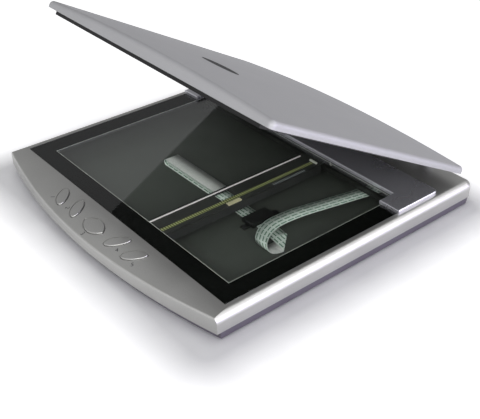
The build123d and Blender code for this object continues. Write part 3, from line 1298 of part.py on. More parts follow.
def flat_cable():
    """Ribbon from the control board to the scan head, with its crease, curl and rolling loop."""
    half = RIBBON_WIDTH / 2
    y0 = RIBBON_Y - half
    y1 = RIBBON_Y + half
    x0 = CURL_X - half
    x1 = CURL_X + half
    thick = RIBBON_THICKNESS
    # Lower run along the floor, cut at 45 degrees where it is creased and turns forwards.
    run = Polyline((LOOP_X, y0), (x1, y0), (x0, y1), (LOOP_X, y1), close=True)
    cable = extrude(Pos(0, 0, RIBBON_Z) * make_face(run), thick)
    folded_z = RIBBON_Z + thick + 2 * CREASE_RADIUS
    folded = Polyline((x0, y1), (x1, y0), (x1, CURL_Y), (x0, CURL_Y), close=True)
    cable += extrude(Pos(0, 0, folded_z) * make_face(folded), thick)
    crease = half_tube(CREASE_RADIUS, RIBBON_WIDTH * sqrt(2))
    middle = RIBBON_Z + thick + CREASE_RADIUS
    cable += Pos(CURL_X, RIBBON_Y, middle) * Rot(0, 0, 45) * crease
    # The curl takes it up and back over itself, to the height of the control board.
    curl_radius = (RIBBON_TOP_Z - folded_z - thick) / 2
    curl = half_tube(curl_radius, RIBBON_WIDTH)
    cable += Pos(CURL_X, CURL_Y, folded_z + thick + curl_radius) * Rot(0, 0, -90) * curl
    upper = Polyline(
        (x0, CURL_Y), (x1, CURL_Y), (BEND_X + half, BEND_Y), (RIBBON_END_X + half, BOARD_Y0 + 1),
        (RIBBON_END_X - half, BOARD_Y0 + 1), (BEND_X - half, BEND_Y), close=True,
    )
    cable += extrude(Pos(0, 0, RIBBON_TOP_Z) * make_face(upper), thick)
    # The rolling loop, and the run from it to the scan head.
    loop = half_tube(FOLD_RADIUS, RIBBON_WIDTH)
    cable += Pos(LOOP_X, RIBBON_Y, RIBBON_Z + thick + FOLD_RADIUS) * Rot(0, 0, 180) * loop
    entry = CARRIAGE_X - CARRIAGE_WIDTH / 2 + 5
    cable += block(LOOP_X, entry, y0, y1, RIBBON_TOP_Z, RIBBON_TOP_Z + thick)
    return cable + block(entry - thick, entry, y0, y1, RIBBON_TOP_Z, HEAD_BOTTOM_Z)


def half_tube(radius, length):
    """Half of a tube of ribbon along Y, bulging towards +X."""
    outer = radius + RIBBON_THICKNESS
    tube = Cylinder(outer, length) - Cylinder(radius, length)
    return Rot(90, 0, 0) * (tube - block(-outer - 1, 0, -outer - 1, outer + 1, -length, length))


def panel_cable():
    """Narrow ribbon from the button board to the control board along the right wall."""
    x0 = PANEL_CABLE_X
    x1 = x0 + PANEL_CABLE_WIDTH
    z = FLOOR_Z + 0.2
    thick = RIBBON_THICKNESS
    # Down from the button board and along the front.
    tab0 = PANEL_BOARD_HALF - 2 - PANEL_CABLE_WIDTH
    tab1 = PANEL_BOARD_HALF - 2
    edge = PANEL_BOARD_Y1 + 0.5
    top = PANEL_BOARD_Z + BOARD_THICKNESS
    ribbon = block(tab0, tab1, edge - 4, edge + thick, top, top + thick)
    ribbon += block(tab0, tab1, edge, edge + thick, z, top + thick)
    front = edge + 4
    ribbon += block(tab0, tab1, edge, front + PANEL_CABLE_WIDTH, z, z + thick)
    ribbon += block(tab0, x1, front, front + PANEL_CABLE_WIDTH, z, z + thick)
    # Along the right wall to the control board and up to its top.
    y0 = BOARD_Y0 + 4
    y1 = y0 + PANEL_CABLE_WIDTH
    ribbon += block(x0, x1, front, y1, z, z + thick)
    edge = BOARD_X1 + 0.5
    top = BOARD_TOP_Z
    ribbon += block(edge, x1, y0, y1, z, z + thick)
    ribbon += block(edge, edge + thick, y0, y1, z, top + thick)
    return ribbon + block(edge - 4, edge + thick, y0, y1, top, top + thick)


save("upper_housing", upper_housing())
save("lower_casing", lower_casing())
save("rubber_feet", rubber_feet())
save("housing_screws", housing_screws())
save("platen_glass", platen_glass())
save("glass_mask", glass_mask())
save("glass_tape", glass_tape())
save("calibration_strip", calibration_strip())
save("rear_bezel", rear_bezel())
save("hinge_sockets", hinge_sockets())
save("guide_rod", guide_rod())
save("rod_clips", rod_clips())
save("rear_beam", rear_beam())
save("drive_motor", drive_motor())
save("motor_bracket", motor_bracket())
save("gear_axles", gear_axles())
save("idler_bracket", idler_bracket())
save("tension_spring", tension_spring())
save("drive_belt", drive_belt())
save("main_board", main_board())
save("board_chips", board_chips())
save("usb_socket", usb_socket())
save("button_board", button_board())
save("tact_switches", tact_switches())
save("home_sensor", home_sensor())
save("ferrite_block", ferrite_block())
save("inner_screws", inner_screws())
save("flat_cable", flat_cable())
save("panel_cable", panel_cable())
save("carriage_frame", carriage_frame())
save("head_housing", head_housing())
save("head_ribbon", head_ribbon())
save("head_connector", head_connector())
save("light_guide", light_guide())
save("lens_array", lens_array())
save("sensor_board", sensor_board())
save("head_springs", head_springs())
save("glass_spacers", glass_spacers())
save("rod_bushings", rod_bushings())
save("slide_shoe", slide_shoe())
save("belt_clamp", belt_clamp())
save("drive_pulley", drive_pulley())
save("reduction_gear", reduction_gear())
save("motor_pinion", motor_pinion())
save("idler_pulley", idler_pulley())
for number in BUTTON_PLACES:
    save(f"button_{number}", button(number))
save("hinge_post_left", hinge_post(-1))
save("hinge_post_right", hinge_post(1))
save("hinge_pins", hinge_pins())
save("cover_shell", lifted(cover_shell()))
save("cover_liner", lifted(cover_liner()))
save("pad_foam", lifted(pad_foam()))
save("pad_sheet", lifted(pad_sheet()))
save("cover_badge", lifted(cover_badge()))
save("hinge_leaves", lifted(hinge_leaves()))
save("cover_screws", lifted(cover_screws()))
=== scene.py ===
# %% [markdown]
# A travel document scanner stands on a pale table with its cover half open. Its solid parts come ready from
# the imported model. This lesson photographs them: it sets camera and lights, gives every part its real
# finish, and adds what is too thin or too soft for the solids, such as the ribbon, the printing and the
# edges of the glass.

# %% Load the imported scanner
import math

import bmesh
import bpy
from mathutils import Matrix, Vector
from mathutils.bvhtree import BVHTree


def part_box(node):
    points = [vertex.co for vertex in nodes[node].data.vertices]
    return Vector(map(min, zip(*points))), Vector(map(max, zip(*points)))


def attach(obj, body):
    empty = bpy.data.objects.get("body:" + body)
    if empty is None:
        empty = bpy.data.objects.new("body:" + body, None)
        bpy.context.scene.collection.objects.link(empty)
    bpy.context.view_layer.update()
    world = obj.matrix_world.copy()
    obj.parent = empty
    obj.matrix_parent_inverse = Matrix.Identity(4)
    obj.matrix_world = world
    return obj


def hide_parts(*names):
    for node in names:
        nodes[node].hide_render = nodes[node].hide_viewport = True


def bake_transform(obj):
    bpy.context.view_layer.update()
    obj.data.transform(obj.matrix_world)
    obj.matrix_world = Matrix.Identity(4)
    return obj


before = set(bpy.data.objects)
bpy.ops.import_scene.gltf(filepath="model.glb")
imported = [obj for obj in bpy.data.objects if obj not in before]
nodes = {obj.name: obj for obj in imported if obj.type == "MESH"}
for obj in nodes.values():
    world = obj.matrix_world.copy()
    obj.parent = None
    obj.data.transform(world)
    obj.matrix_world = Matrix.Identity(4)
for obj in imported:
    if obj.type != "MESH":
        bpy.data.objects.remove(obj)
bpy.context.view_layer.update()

MM = 0.001

# %% [markdown]
# A product photographer stands at the right front corner and looks down at about a third of a right angle.
# A long lens keeps the sides nearly parallel. The camera is placed with a given heading, slope and roll
# instead of with a tracking constraint, because its small roll is part of the picture.

# %% Camera at the right front corner
STAND = Vector((0.59765, -0.4713, 0.4815))
HEADING = math.radians(50.75)
DOWNWARD = math.radians(33.65)
ROLL = math.radians(0.35)

lens = bpy.data.cameras.new("camera")
lens.lens = 63.88
lens.sensor_width = 36.0
camera = bpy.data.objects.new("camera", lens)
camera.matrix_world = (
    Matrix.Translation(STAND)
    @ Matrix.Rotation(HEADING, 4, "Z")
    @ Matrix.Rotation(math.pi / 2 - DOWNWARD, 4, "X")
    @ Matrix.Rotation(-ROLL, 4, "Z")
)
bpy.context.scene.collection.objects.link(camera)
bpy.context.scene.camera = camera
print("camera distance in mm:", round(STAND.length / MM))

# %% [markdown]
# Web colours are stored the way a screen shows them, and shader sockets want linear light. One function
# turns the first into the second. A second function adds a node with its settings and links, so that a
# finish reads as a short recipe. A third turns a size in millimetres into the scale of a pattern in object
# space.

# %% Helpers for finishes
def linear(code):
    """The linear colour, with alpha, of a web colour such as #8a8a88."""
    channels = [int(code[i : i + 2], 16) / 255 for i in (1, 3, 5)]
    curve = [c / 12.92 if c <= 0.04045 else ((c + 0.055) / 1.055) ** 2.4 for c in channels]
    return (*curve, 1.0)


def add(material, kind, settings=(), links=()):
    """Add one node. Settings are properties or sockets, links bring other nodes' outputs to its sockets."""
    node = material.node_tree.nodes.new(kind)
    for name, value in dict(settings).items():
        if isinstance(name, str) and hasattr(node, name):
            setattr(node, name, value)
        else:
            node.inputs[name].default_value = value
    for name, output in dict(links).items():
        material.node_tree.links.new(output, node.inputs[name])
    return node


def scale_of(size_mm):
    """How many features of that size fit in a metre."""
    return 1000.0 / size_mm


def new_finish(name, **surface):
    """A material with one Principled surface, its constants set on the surface's own sockets."""
    material = bpy.data.materials.new(name)
    material.use_nodes = True
    material.node_tree.nodes.clear()
    shader = add(material, "ShaderNodeBsdfPrincipled", surface)
    add(material, "ShaderNodeOutputMaterial", links={"Surface": shader.outputs["BSDF"]})
    return material, shader


def blend_tones(material, dark, light, amount):
    """A colour that runs from dark to light as amount goes from 0 to 1."""
    mix = add(
        material,
        "ShaderNodeMix",
        {"data_type": "RGBA", 6: linear(dark), 7: linear(light)},
        {0: amount},
    )
    return mix.outputs[2]


# %% [markdown]
# Most parts of an office machine are moulded or painted. Such a surface is never one flat colour: it has a
# faint large drift from the mould, a fine grain, and a gloss that changes a little from place to place.
# This recipe makes all of them from noise in object space, so it needs no unwrapping and stays put as parts
# move.

# %% Recipe for moulded and painted parts
def grained(name, dark, light, grain_mm, depth_mm, gloss=(0.35, 0.5), drift_mm=60.0, **surface):
    """Two close tones, a grain of a real size and a roughness that drifts between two values."""
    material, shader = new_finish(name, **surface)
    links = material.node_tree.links
    place = add(material, "ShaderNodeTexCoord").outputs["Object"]
    fine = add(
        material, "ShaderNodeTexNoise", {"Scale": scale_of(grain_mm), "Detail": 3.0}, {"Vector": place}
    ).outputs["Fac"]
    broad = add(
        material, "ShaderNodeTexNoise", {"Scale": scale_of(drift_mm), "Detail": 2.0}, {"Vector": place}
    ).outputs["Fac"]
    both = add(material, "ShaderNodeMath", {"operation": "ADD"}, {0: fine, 1: broad}).outputs[0]
    halved = add(material, "ShaderNodeMapRange", {"From Min": 0.75, "From Max": 1.25}, {"Value": both})
    links.new(blend_tones(material, dark, light, halved.outputs[0]), shader.inputs["Base Color"])
    roughness = add(
        material,
        "ShaderNodeMapRange",
        {"From Min": 0.3, "From Max": 0.7, "To Min": gloss[0], "To Max": gloss[1]},
        {"Value": broad},
    )
    links.new(roughness.outputs[0], shader.inputs["Roughness"])
    bump = add(
        material, "ShaderNodeBump", {"Strength": 1.0, "Distance": depth_mm * MM}, {"Height": fine}
    )
    links.new(bump.outputs["Normal"], shader.inputs["Normal"])
    return material


finishes = {}

# %% [markdown]
# The upper half of the base and the cover are ABS sprayed with silver paint. The paint is a clear binder
# with fine aluminium flake, so it is neither metal nor plastic: the flake gives a soft, wide sheen under a
# thin gloss. Mostly metallic with a medium roughness says that. The cover is seen at a flat angle, where it
# would mirror too much of the studio, so its coat is flatter and less metallic. Its copy of the paint is also
# darker: painted shade for the strong light it catches. The rear plate's copy is lighter and bluer: painted
# light, and a painted tint of the bluish reflection it shows. The flake is finer than a pixel, so its grain
# is drawn a little coarser than life.

# %% Silver paint on the housing, with painted shade on the cover and painted light on the rear plate
finishes["housing"] = grained(
    "silver_paint_on_abs", "#adadaa", "#b6b6b3", 0.8, 0.003, (0.34, 0.42),
    **{"Metallic": 0.8, "IOR": 1.5, "Coat Weight": 0.1, "Coat Roughness": 0.3},
)
# The cover's copy of the paint is darker: painted shade.
finishes["cover"] = grained(
    "silver_paint_painted_shade_on_cover", "#a0a0a2", "#a4a4a6", 0.8, 0.003, (0.5, 0.58),
    **{"Metallic": 0.4, "IOR": 1.45},
)
# The rear plate's copy is lighter and bluer: painted light and a painted bluish reflection.
finishes["bezel"] = grained(
    "silver_paint_painted_light_on_plate", "#c4c4ca", "#cfcfd5", 0.8, 0.003, (0.26, 0.32),
    **{"Metallic": 0.8, "IOR": 1.5, "Coat Weight": 0.1, "Coat Roughness": 0.2},
)
finishes["button"] = grained(
    "silver_paint_on_keys", "#adadaa", "#b6b6b3", 0.8, 0.003, (0.26, 0.34),
    **{"Metallic": 0.8, "IOR": 1.5, "Coat Weight": 0.3, "Coat Roughness": 0.15},
)
print("paints:", len(finishes))

# %% [markdown]
# The large middle key is ribbed so that a finger finds it. The ribs are only a twentieth of a millimetre
# high, so they are a bump and not a shape. A wave in object space draws them, further apart than life so
# that they show. At a scale of one, this wave's slanted ribs are 0.444 of a metre apart.

# %% Ribs on the middle key
RIB_MM = 1.866
SLANTED_BAND = math.pi / 5 / math.sqrt(2)
finishes["centre_button"] = grained(
    "ribbed_silver_key", "#adadaa", "#b6b6b3", 0.8, 0.003, (0.28, 0.36),
    **{"Metallic": 0.8, "IOR": 1.5, "Coat Weight": 0.3, "Coat Roughness": 0.15},
)
ribbed = finishes["centre_button"]
ribs = add(
    ribbed,
    "ShaderNodeTexWave",
    {
        "wave_type": "BANDS",
        "bands_direction": "DIAGONAL",
        "Scale": SLANTED_BAND * scale_of(RIB_MM),
        "Distortion": 0.0,
    },
    {"Vector": add(ribbed, "ShaderNodeTexCoord").outputs["Object"]},
)
rib_bump = add(ribbed, "ShaderNodeBump", {"Distance": 0.05 * MM}, {"Height": ribs.outputs["Fac"]})
surface = next(n for n in ribbed.node_tree.nodes if n.type == "BSDF_PRINCIPLED")
grain_bump = surface.inputs["Normal"].links[0].from_node
ribbed.node_tree.links.new(rib_bump.outputs["Normal"], grain_bump.inputs["Normal"])
print("rib spacing in mm:", round(RIB_MM, 1))

# %% [markdown]
# The tray is one moulding, yet it looks like two things: its outside is violet-grey ABS, and the well that
# the carriage runs in is nearly black, so that stray light dies there. A mask made from object space tells
# the two apart: inside the walls and above the floor is the well.

# %% Moulded ABS of the tray, dark in the well
casing = grained(
    "moulded_abs_tray", "#4b4652", "#57525f", 0.8, 0.01, (0.42, 0.55), **{"IOR": 1.53}
)
finishes["casing"] = casing
floor_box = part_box("lower_casing")
WALL = 2.5 * MM
FRONT_LEDGE = 24 * MM
FLOOR = 1.9 * MM
WELL = {
    "X": (floor_box[0].x + WALL, floor_box[1].x - WALL),
    "Y": (floor_box[0].y + FRONT_LEDGE, floor_box[1].y - WALL),
    "Z": (floor_box[0].z + FLOOR, 1.0),
}
split = add(
    casing, "ShaderNodeSeparateXYZ", links={0: add(casing, "ShaderNodeTexCoord").outputs["Object"]}
)
inside = None
for axis, (low, high) in WELL.items():
    above = add(
        casing, "ShaderNodeMath", {"operation": "GREATER_THAN", 1: low}, {0: split.outputs[axis]}
    )
    below = add(
        casing, "ShaderNodeMath", {"operation": "LESS_THAN", 1: high}, {0: split.outputs[axis]}
    )
    between = add(
        casing, "ShaderNodeMath", {"operation": "MULTIPLY"}, {0: above.outputs[0], 1: below.outputs[0]}
    ).outputs[0]
    inside = between if inside is None else add(
        casing, "ShaderNodeMath", {"operation": "MULTIPLY"}, {0: inside, 1: between}
    ).outputs[0]
surface = next(n for n in casing.node_tree.nodes if n.type == "BSDF_PRINCIPLED")
outside_tone = surface.inputs["Base Color"].links[0].from_socket
well_noise = add(
    casing,
    "ShaderNodeTexNoise",
    {"Scale": scale_of(40), "Detail": 3.0},
    {"Vector": add(casing, "ShaderNodeTexCoord").outputs["Object"]},
)
well_tone = blend_tones(casing, "#41433f", "#4a4c48", well_noise.outputs["Fac"])
both_tones = add(casing, "ShaderNodeMix", {"data_type": "RGBA"}, {0: inside, 6: outside_tone, 7: well_tone})
casing.node_tree.links.new(both_tones.outputs[2], surface.inputs["Base Color"])
print("well in mm:", {axis: [round(v / MM) for v in pair] for axis, pair in WELL.items()})

# %% [markdown]
# The plain plastics differ in what was mixed into them. The carriage and the clips are nylon filled with
# glass, which is dull. Hinge parts, gears and bushings are acetal, which feels waxy and keeps a soft gloss.
# The feet and the belt are rubber, which has almost no gloss. Each row gives a name, two tones, the size
# and depth of the grain in millimetres, the range of the roughness and the index of refraction.

# %% Plain plastics and rubbers
PLAIN = {
    "works_plastic": ("glass_filled_nylon", "#1d1d1b", "#2a2a27", 0.7, 0.012, (0.42, 0.6), 1.53),
    "hinge_plastic": ("moulded_acetal_hinge", "#6f6f73", "#7a7a7e", 0.8, 0.008, (0.4, 0.5), 1.48),
    "gear_plastic": ("white_acetal_gears", "#d9d7cd", "#e6e4da", 0.6, 0.004, (0.32, 0.4), 1.48),
    "bearing": ("white_acetal_bushings", "#cfcdc4", "#dddbd2", 0.6, 0.004, (0.32, 0.4), 1.48),
    "reference_white": ("matt_white_strip", "#e9e9e6", "#f2f2ef", 0.3, 0.004, (0.75, 0.85), 1.5),
    "connector": ("cream_nylon_connector", "#cbbf98", "#d8cda9", 0.5, 0.006, (0.42, 0.55), 1.53),
    "foot": ("black_rubber_foot", "#1b1b1c", "#262627", 0.5, 0.02, (0.75, 0.9), 1.52),
    "belt": ("black_rubber_belt", "#151515", "#202020", 0.4, 0.015, (0.7, 0.85), 1.52),
    "liner": ("moulded_abs_liner", "#060607", "#0b0b0c", 0.6, 0.01, (0.36, 0.46), 1.45),
    "badge": ("smoked_lacquer_badge", "#0b0b0e", "#121216", 3.0, 0.0, (0.6, 0.7), 1.4),
    "tape": ("white_foam_tape", "#c9c9c4", "#d6d6d1", 0.4, 0.02, (0.8, 0.9), 1.45),
    "chip": ("black_epoxy_package", "#18181a", "#232325", 0.2, 0.006, (0.5, 0.65), 1.55),
    "ferrite": ("ferrite_in_black_shell", "#0b0b0a", "#131312", 0.3, 0.01, (0.3, 0.4), 1.55),
    "pad_vinyl": ("black_vinyl_sheet", "#0e0e0f", "#161617", 1.2, 0.01, (0.5, 0.62), 1.5),
}
for slot_name, (name, dark, light, grain, depth, gloss, ior) in PLAIN.items():
    finishes[slot_name] = grained(name, dark, light, grain, depth, gloss, IOR=ior)
finishes["mask"] = grained(
    "black_screen_ink", "#0a0b0a", "#101210", 4.0, 0.0, (0.5, 0.6),
    **{"IOR": 1.5, "Specular IOR Level": 0.0},
)
finishes["foam"] = grained(
    "open_cell_foam", "#3a3b3d", "#6d6e71", 0.9, 0.35, (0.9, 1.0), IOR=1.45
)
print("plain finishes:", len(PLAIN) + 2)

# %% [markdown]
# Metal keeps its default index of refraction and gets its look from colour, roughness and the marks of its
# making. A ground rod is bright with a very fine grain, rolled sheet has a coarse zinc spangle, and the
# screws are dark.

# %% Metals
METALS = {
    "ground_steel": ("centreless_ground_steel", "#b9bbbd", "#c9cbcd", 0.15, 0.002, (0.16, 0.24)),
    "sheet_steel": ("zinc_plated_sheet", "#a9adb0", "#c4c7c9", 5.0, 0.004, (0.3, 0.45)),
    "motor": ("zinc_plated_motor_can", "#b4b6b6", "#c6c8c8", 2.0, 0.003, (0.26, 0.36)),
    "socket_metal": ("nickel_plated_shell", "#b7b4ab", "#c8c5bc", 1.5, 0.002, (0.18, 0.26)),
    "pinion": ("turned_brass", "#c9a45a", "#d8b770", 0.3, 0.003, (0.2, 0.3)),
    "screw": ("black_zinc_screws", "#4c4c4f", "#5f5f62", 0.3, 0.004, (0.32, 0.42)),
}
for slot_name, (name, dark, light, grain, depth, gloss) in METALS.items():
    finishes[slot_name] = grained(name, dark, light, grain, depth, gloss, Metallic=1.0)
print("metals:", sorted(METALS))

# %% [markdown]
# A circuit board is glass cloth under green solder mask. The copper under the mask shows as paler runs,
# which the joints of a brick pattern draw well enough at this size.

# %% Solder mask with copper runs
RUN_MM = 12
board, board_surface = new_finish("green_solder_mask", **{"IOR": 1.55, "Coat Weight": 0.3})
board_place = add(board, "ShaderNodeTexCoord").outputs["Object"]
runs = add(
    board,
    "ShaderNodeTexBrick",
    {
        "Scale": scale_of(RUN_MM),
        "Mortar Size": 0.03,
        "Color1": linear("#0f4a2c"),
        "Color2": linear("#14563a"),
        "Mortar": linear("#2d7a4f"),
    },
    {"Vector": board_place},
)
gloss_drift = add(board, "ShaderNodeTexNoise", {"Scale": scale_of(8)}, {"Vector": board_place})
board_gloss = add(
    board, "ShaderNodeMapRange", {"To Min": 0.28, "To Max": 0.42}, {"Value": gloss_drift.outputs["Fac"]}
)
board.node_tree.links.new(runs.outputs["Color"], board_surface.inputs["Base Color"])
board.node_tree.links.new(board_gloss.outputs[0], board_surface.inputs["Roughness"])
finishes["board"] = board
print("board run spacing in mm:", RUN_MM)

# %% [markdown]
# The light guide is a milky acrylic bar beside the lens, with a faint painted glow. The lens is a row of
# glass rods, one every 0.6 mm, set in yellow-green resin: too fine to count here, so the rods are drawn
# 2.8 mm apart. At a scale of one, this wave's straight bands are 0.314 of a metre apart.

# %% Light guide and rod lens
ROD_MM = 2.8
STRAIGHT_BAND = 0.314
finishes["light_guide"] = grained(
    "milky_acrylic_painted_glow", "#efe3e6", "#f8eff1", 4.0, 0.0, (0.12, 0.2), **{"IOR": 1.49, "Coat Weight": 0.4}
)
guide_surface = next(n for n in finishes["light_guide"].node_tree.nodes if n.type == "BSDF_PRINCIPLED")
# A faint painted glow on the light guide.
guide_surface.inputs["Emission Color"].default_value = linear("#f6e6ea")
guide_surface.inputs["Emission Strength"].default_value = 0.12

rods, rods_surface = new_finish("rod_lens_array", **{"IOR": 1.6, "Coat Weight": 0.5})
rods_place = add(rods, "ShaderNodeTexCoord").outputs["Object"]
hatch = add(
    rods,
    "ShaderNodeTexWave",
    {
        "wave_type": "BANDS",
        "bands_direction": "Y",
        "Scale": scale_of(ROD_MM) * STRAIGHT_BAND,
        "Distortion": 0.4,
    },
    {"Vector": rods_place},
)
rods.node_tree.links.new(
    blend_tones(rods, "#4d5030", "#b0b37a", hatch.outputs["Fac"]), rods_surface.inputs["Base Color"]
)
rods_gloss = add(
    rods, "ShaderNodeMapRange", {"To Min": 0.2, "To Max": 0.34}, {"Value": hatch.outputs["Fac"]}
)
rods.node_tree.links.new(rods_gloss.outputs[0], rods_surface.inputs["Roughness"])
finishes["lens"] = rods
print("optics:", finishes["light_guide"].name, rods.name)

# %% [markdown]
# The ribbon is a flat cable of tinned strips between two pale polyester films. Dark green stripes, broken
# like dashes, run along it. They follow the ribbon through every fold, so this finish reads the ribbon's
# own map: metres along it in u, and from one edge to the other in v. The other side of the film is plain.

# %% Ribbon with dashed stripes
ribbon_finish, ribbon_surface = new_finish("polyester_flat_cable", **{"IOR": 1.57, "Coat Weight": 0.2})
ribbon_map = add(
    ribbon_finish, "ShaderNodeSeparateXYZ", links={0: add(ribbon_finish, "ShaderNodeTexCoord").outputs["UV"]}
)
STRIPES = 4
DASH_MM = 9.0


def band(material, value, count, low, high):
    """One inside a band of each of count equal parts of the value, nought elsewhere."""
    many = add(material, "ShaderNodeMath", {"operation": "MULTIPLY", 1: count}, {0: value})
    part = add(material, "ShaderNodeMath", {"operation": "FRACT"}, {0: many.outputs[0]})
    over = add(material, "ShaderNodeMath", {"operation": "GREATER_THAN", 1: low}, {0: part.outputs[0]})
    under = add(material, "ShaderNodeMath", {"operation": "LESS_THAN", 1: high}, {0: part.outputs[0]})
    return add(
        material, "ShaderNodeMath", {"operation": "MULTIPLY"}, {0: over.outputs[0], 1: under.outputs[0]}
    ).outputs[0]


stripe = band(ribbon_finish, ribbon_map.outputs["Y"], STRIPES, 0.32, 0.68)
dash = band(ribbon_finish, ribbon_map.outputs["X"], scale_of(DASH_MM), 0.0, 0.8)
ink = add(ribbon_finish, "ShaderNodeMath", {"operation": "MULTIPLY"}, {0: stripe, 1: dash})
film = add(
    ribbon_finish,
    "ShaderNodeTexNoise",
    {"Scale": scale_of(12)},
    {"Vector": add(ribbon_finish, "ShaderNodeTexCoord").outputs["Object"]},
)
printed = add(
    ribbon_finish,
    "ShaderNodeMix",
    {"data_type": "RGBA", 7: linear("#5d7c6a")},
    {0: ink.outputs[0], 6: blend_tones(ribbon_finish, "#c9d0ca", "#d6dcd7", film.outputs["Fac"])},
)
ribbon_finish.node_tree.links.new(printed.outputs[2], ribbon_surface.inputs["Base Color"])
film_gloss = add(
    ribbon_finish, "ShaderNodeMapRange", {"To Min": 0.3, "To Max": 0.45}, {"Value": film.outputs["Fac"]}
)
ribbon_finish.node_tree.links.new(film_gloss.outputs[0], ribbon_surface.inputs["Roughness"])
finishes["ribbon"] = ribbon_finish
ribbon_back = grained(
    "polyester_cable_back", "#c4c2c1", "#d2cfce", 3.0, 0.0, (0.3, 0.45), **{"IOR": 1.57, "Coat Weight": 0.2}
)
print("stripes on the ribbon:", STRIPES)

# %% [markdown]
# Float glass is clear with a breath of green that only its edge shows. The pane is a true solid here, so
# what lies under it is seen bent, as through the real one, and the surface keeps a faint drift of wiped
# marks. Light that falls through it on to the works is let straight through with a small loss: a pane this
# thin hardly moves it, and bent light would need far more samples.

# %% Float glass
glass, glass_surface = new_finish(
    "float_glass", **{"Base Color": linear("#f6faf7"), "IOR": 1.52, "Transmission Weight": 1.0}
)
smears = add(
    glass,
    "ShaderNodeTexNoise",
    {"Scale": scale_of(30), "Detail": 4.0},
    {"Vector": add(glass, "ShaderNodeTexCoord").outputs["Object"]},
)
polish = add(
    glass, "ShaderNodeMapRange", {"To Min": 0.0, "To Max": 0.02}, {"Value": smears.outputs["Fac"]}
)
glass.node_tree.links.new(polish.outputs[0], glass_surface.inputs["Roughness"])
ray = add(glass, "ShaderNodeLightPath")
falls_through = add(
    glass, "ShaderNodeMath", {"operation": "MAXIMUM"},
    {0: ray.outputs["Is Shadow Ray"], 1: ray.outputs["Is Diffuse Ray"]},
)
clear = add(glass, "ShaderNodeBsdfTransparent", {"Color": linear("#f6f9f7")})
either = add(
    glass, "ShaderNodeMixShader",
    links={0: falls_through.outputs[0], 1: glass_surface.outputs["BSDF"], 2: clear.outputs["BSDF"]},
)
glass_output = next(n for n in glass.node_tree.nodes if n.type == "OUTPUT_MATERIAL")
glass.node_tree.links.new(either.outputs["Shader"], glass_output.inputs["Surface"])
finishes["glass"] = glass
print("glass IOR:", glass_surface.inputs["IOR"].default_value)

# %% [markdown]
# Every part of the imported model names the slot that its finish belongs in. One loop hands the finishes out,
# and stops the lesson if a slot has none.

# %% Give each part its finish
for part in nodes.values():
    for holder in part.material_slots:
        holder.material = finishes[holder.material.name.split(".")[0]]
print("finished parts:", len(nodes))

# %% [markdown]
# New pieces are shaped as a bmesh and then become an object of the same kind as the solids: at the origin,
# with its place in its mesh.

# %% Turn a bmesh into a piece
def finished_piece(name, shape, slot_name, body=None, smooth=True, finish=None):
    """A named object from a bmesh, in the finish of a slot or one of its own, riding on a body."""
    mesh = bpy.data.meshes.new(name)
    shape.to_mesh(mesh)
    shape.free()
    mesh.shade_flat()
    if smooth:
        mesh.shade_smooth()
    mesh.materials.append(finish or finishes[slot_name])
    piece = bpy.data.objects.new(name, mesh)
    bpy.context.scene.collection.objects.link(piece)
    if body:
        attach(piece, body)
    print(name, "faces:", len(mesh.polygons))
    return piece


def bevel_edges(shape, edges, width, segments=3):
    """Round edges by a width in metres."""
    bmesh.ops.bevel(
        shape, geom=edges, offset=width, segments=segments, profile=0.5, affect="EDGES", material=-1
    )


def block_shape(low, high):
    """A bmesh box between two corners in metres."""
    shape = bmesh.new()
    bmesh.ops.create_cube(shape, size=1.0)
    bmesh.ops.scale(shape, vec=Vector(high) - Vector(low), verts=shape.verts)
    bmesh.ops.translate(shape, vec=(Vector(low) + Vector(high)) / 2, verts=shape.verts)
    return shape


# %% [markdown]
# The pane has ground edges: a small chamfer all round that catches a thin line of light. The border is
# printed on its underside, with no air between. Two faces in one plane would fight over who is seen first,
# so the pane reaches a twentieth of a millimetre down into the ink, and a ray inside the glass meets the
# ink directly.

# %% Pane with ground edges
INTO_INK = 0.05 * MM
CHAMFER = 0.4 * MM
pane_low, pane_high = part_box("platen_glass")
ink_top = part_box("glass_mask")[1].z
pane_low.z = ink_top - INTO_INK
pane_shape = block_shape(pane_low, pane_high)
bevel_edges(pane_shape, pane_shape.edges[:], CHAMFER, 2)
pane = finished_piece("glass_pane", pane_shape, "glass", "base", smooth=False)
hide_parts("platen_glass")

# %% [markdown]
# A thin pale line runs round the window where the ink ends: the edge of the tape that holds the pane, seen
# from above. It is a frame cut from one flat grid, just under the ink.

# %% Pale line round the window
WINDOW_X = 148.5 * MM
WINDOW_FRONT = -117.4 * MM
WINDOW_REAR = 91.6 * MM
LINE = 0.7 * MM
LINE_HIDDEN = 0.1 * MM
LINE_BELOW_INK = 0.16 * MM
LINE_THICKNESS = 0.06 * MM


def frame_shape(x, front, rear, width, top, thick):
    """A flat rectangular frame whose outer edge is given."""
    shape = bmesh.new()
    bmesh.ops.create_grid(shape, x_segments=1, y_segments=1, size=0.5)
    bmesh.ops.scale(shape, vec=(2 * x, rear - front, 1), verts=shape.verts)
    bmesh.ops.translate(shape, vec=(0, (front + rear) / 2, top), verts=shape.verts)
    ring = bmesh.ops.inset_region(
        shape, faces=shape.faces[:], thickness=width, use_boundary=True, use_even_offset=True
    )
    middle = [f for f in shape.faces if f not in ring["faces"]]
    bmesh.ops.delete(shape, geom=middle, context="FACES")
    bmesh.ops.solidify(shape, geom=shape.faces[:], thickness=thick)
    return shape


edge_line = frame_shape(
    WINDOW_X + LINE_HIDDEN,
    WINDOW_FRONT - LINE_HIDDEN,
    WINDOW_REAR,
    LINE,
    ink_top - LINE_BELOW_INK,
    LINE_THICKNESS,
)
finished_piece("window_edge_line", edge_line, "tape", "base", smooth=False)

# %% [markdown]
# Each key has a plain number, printed on the panel beside it and turned with it. The panel is curved two
# ways, so each flat number is laid on it point by point: a ray straight down finds the height of the panel.

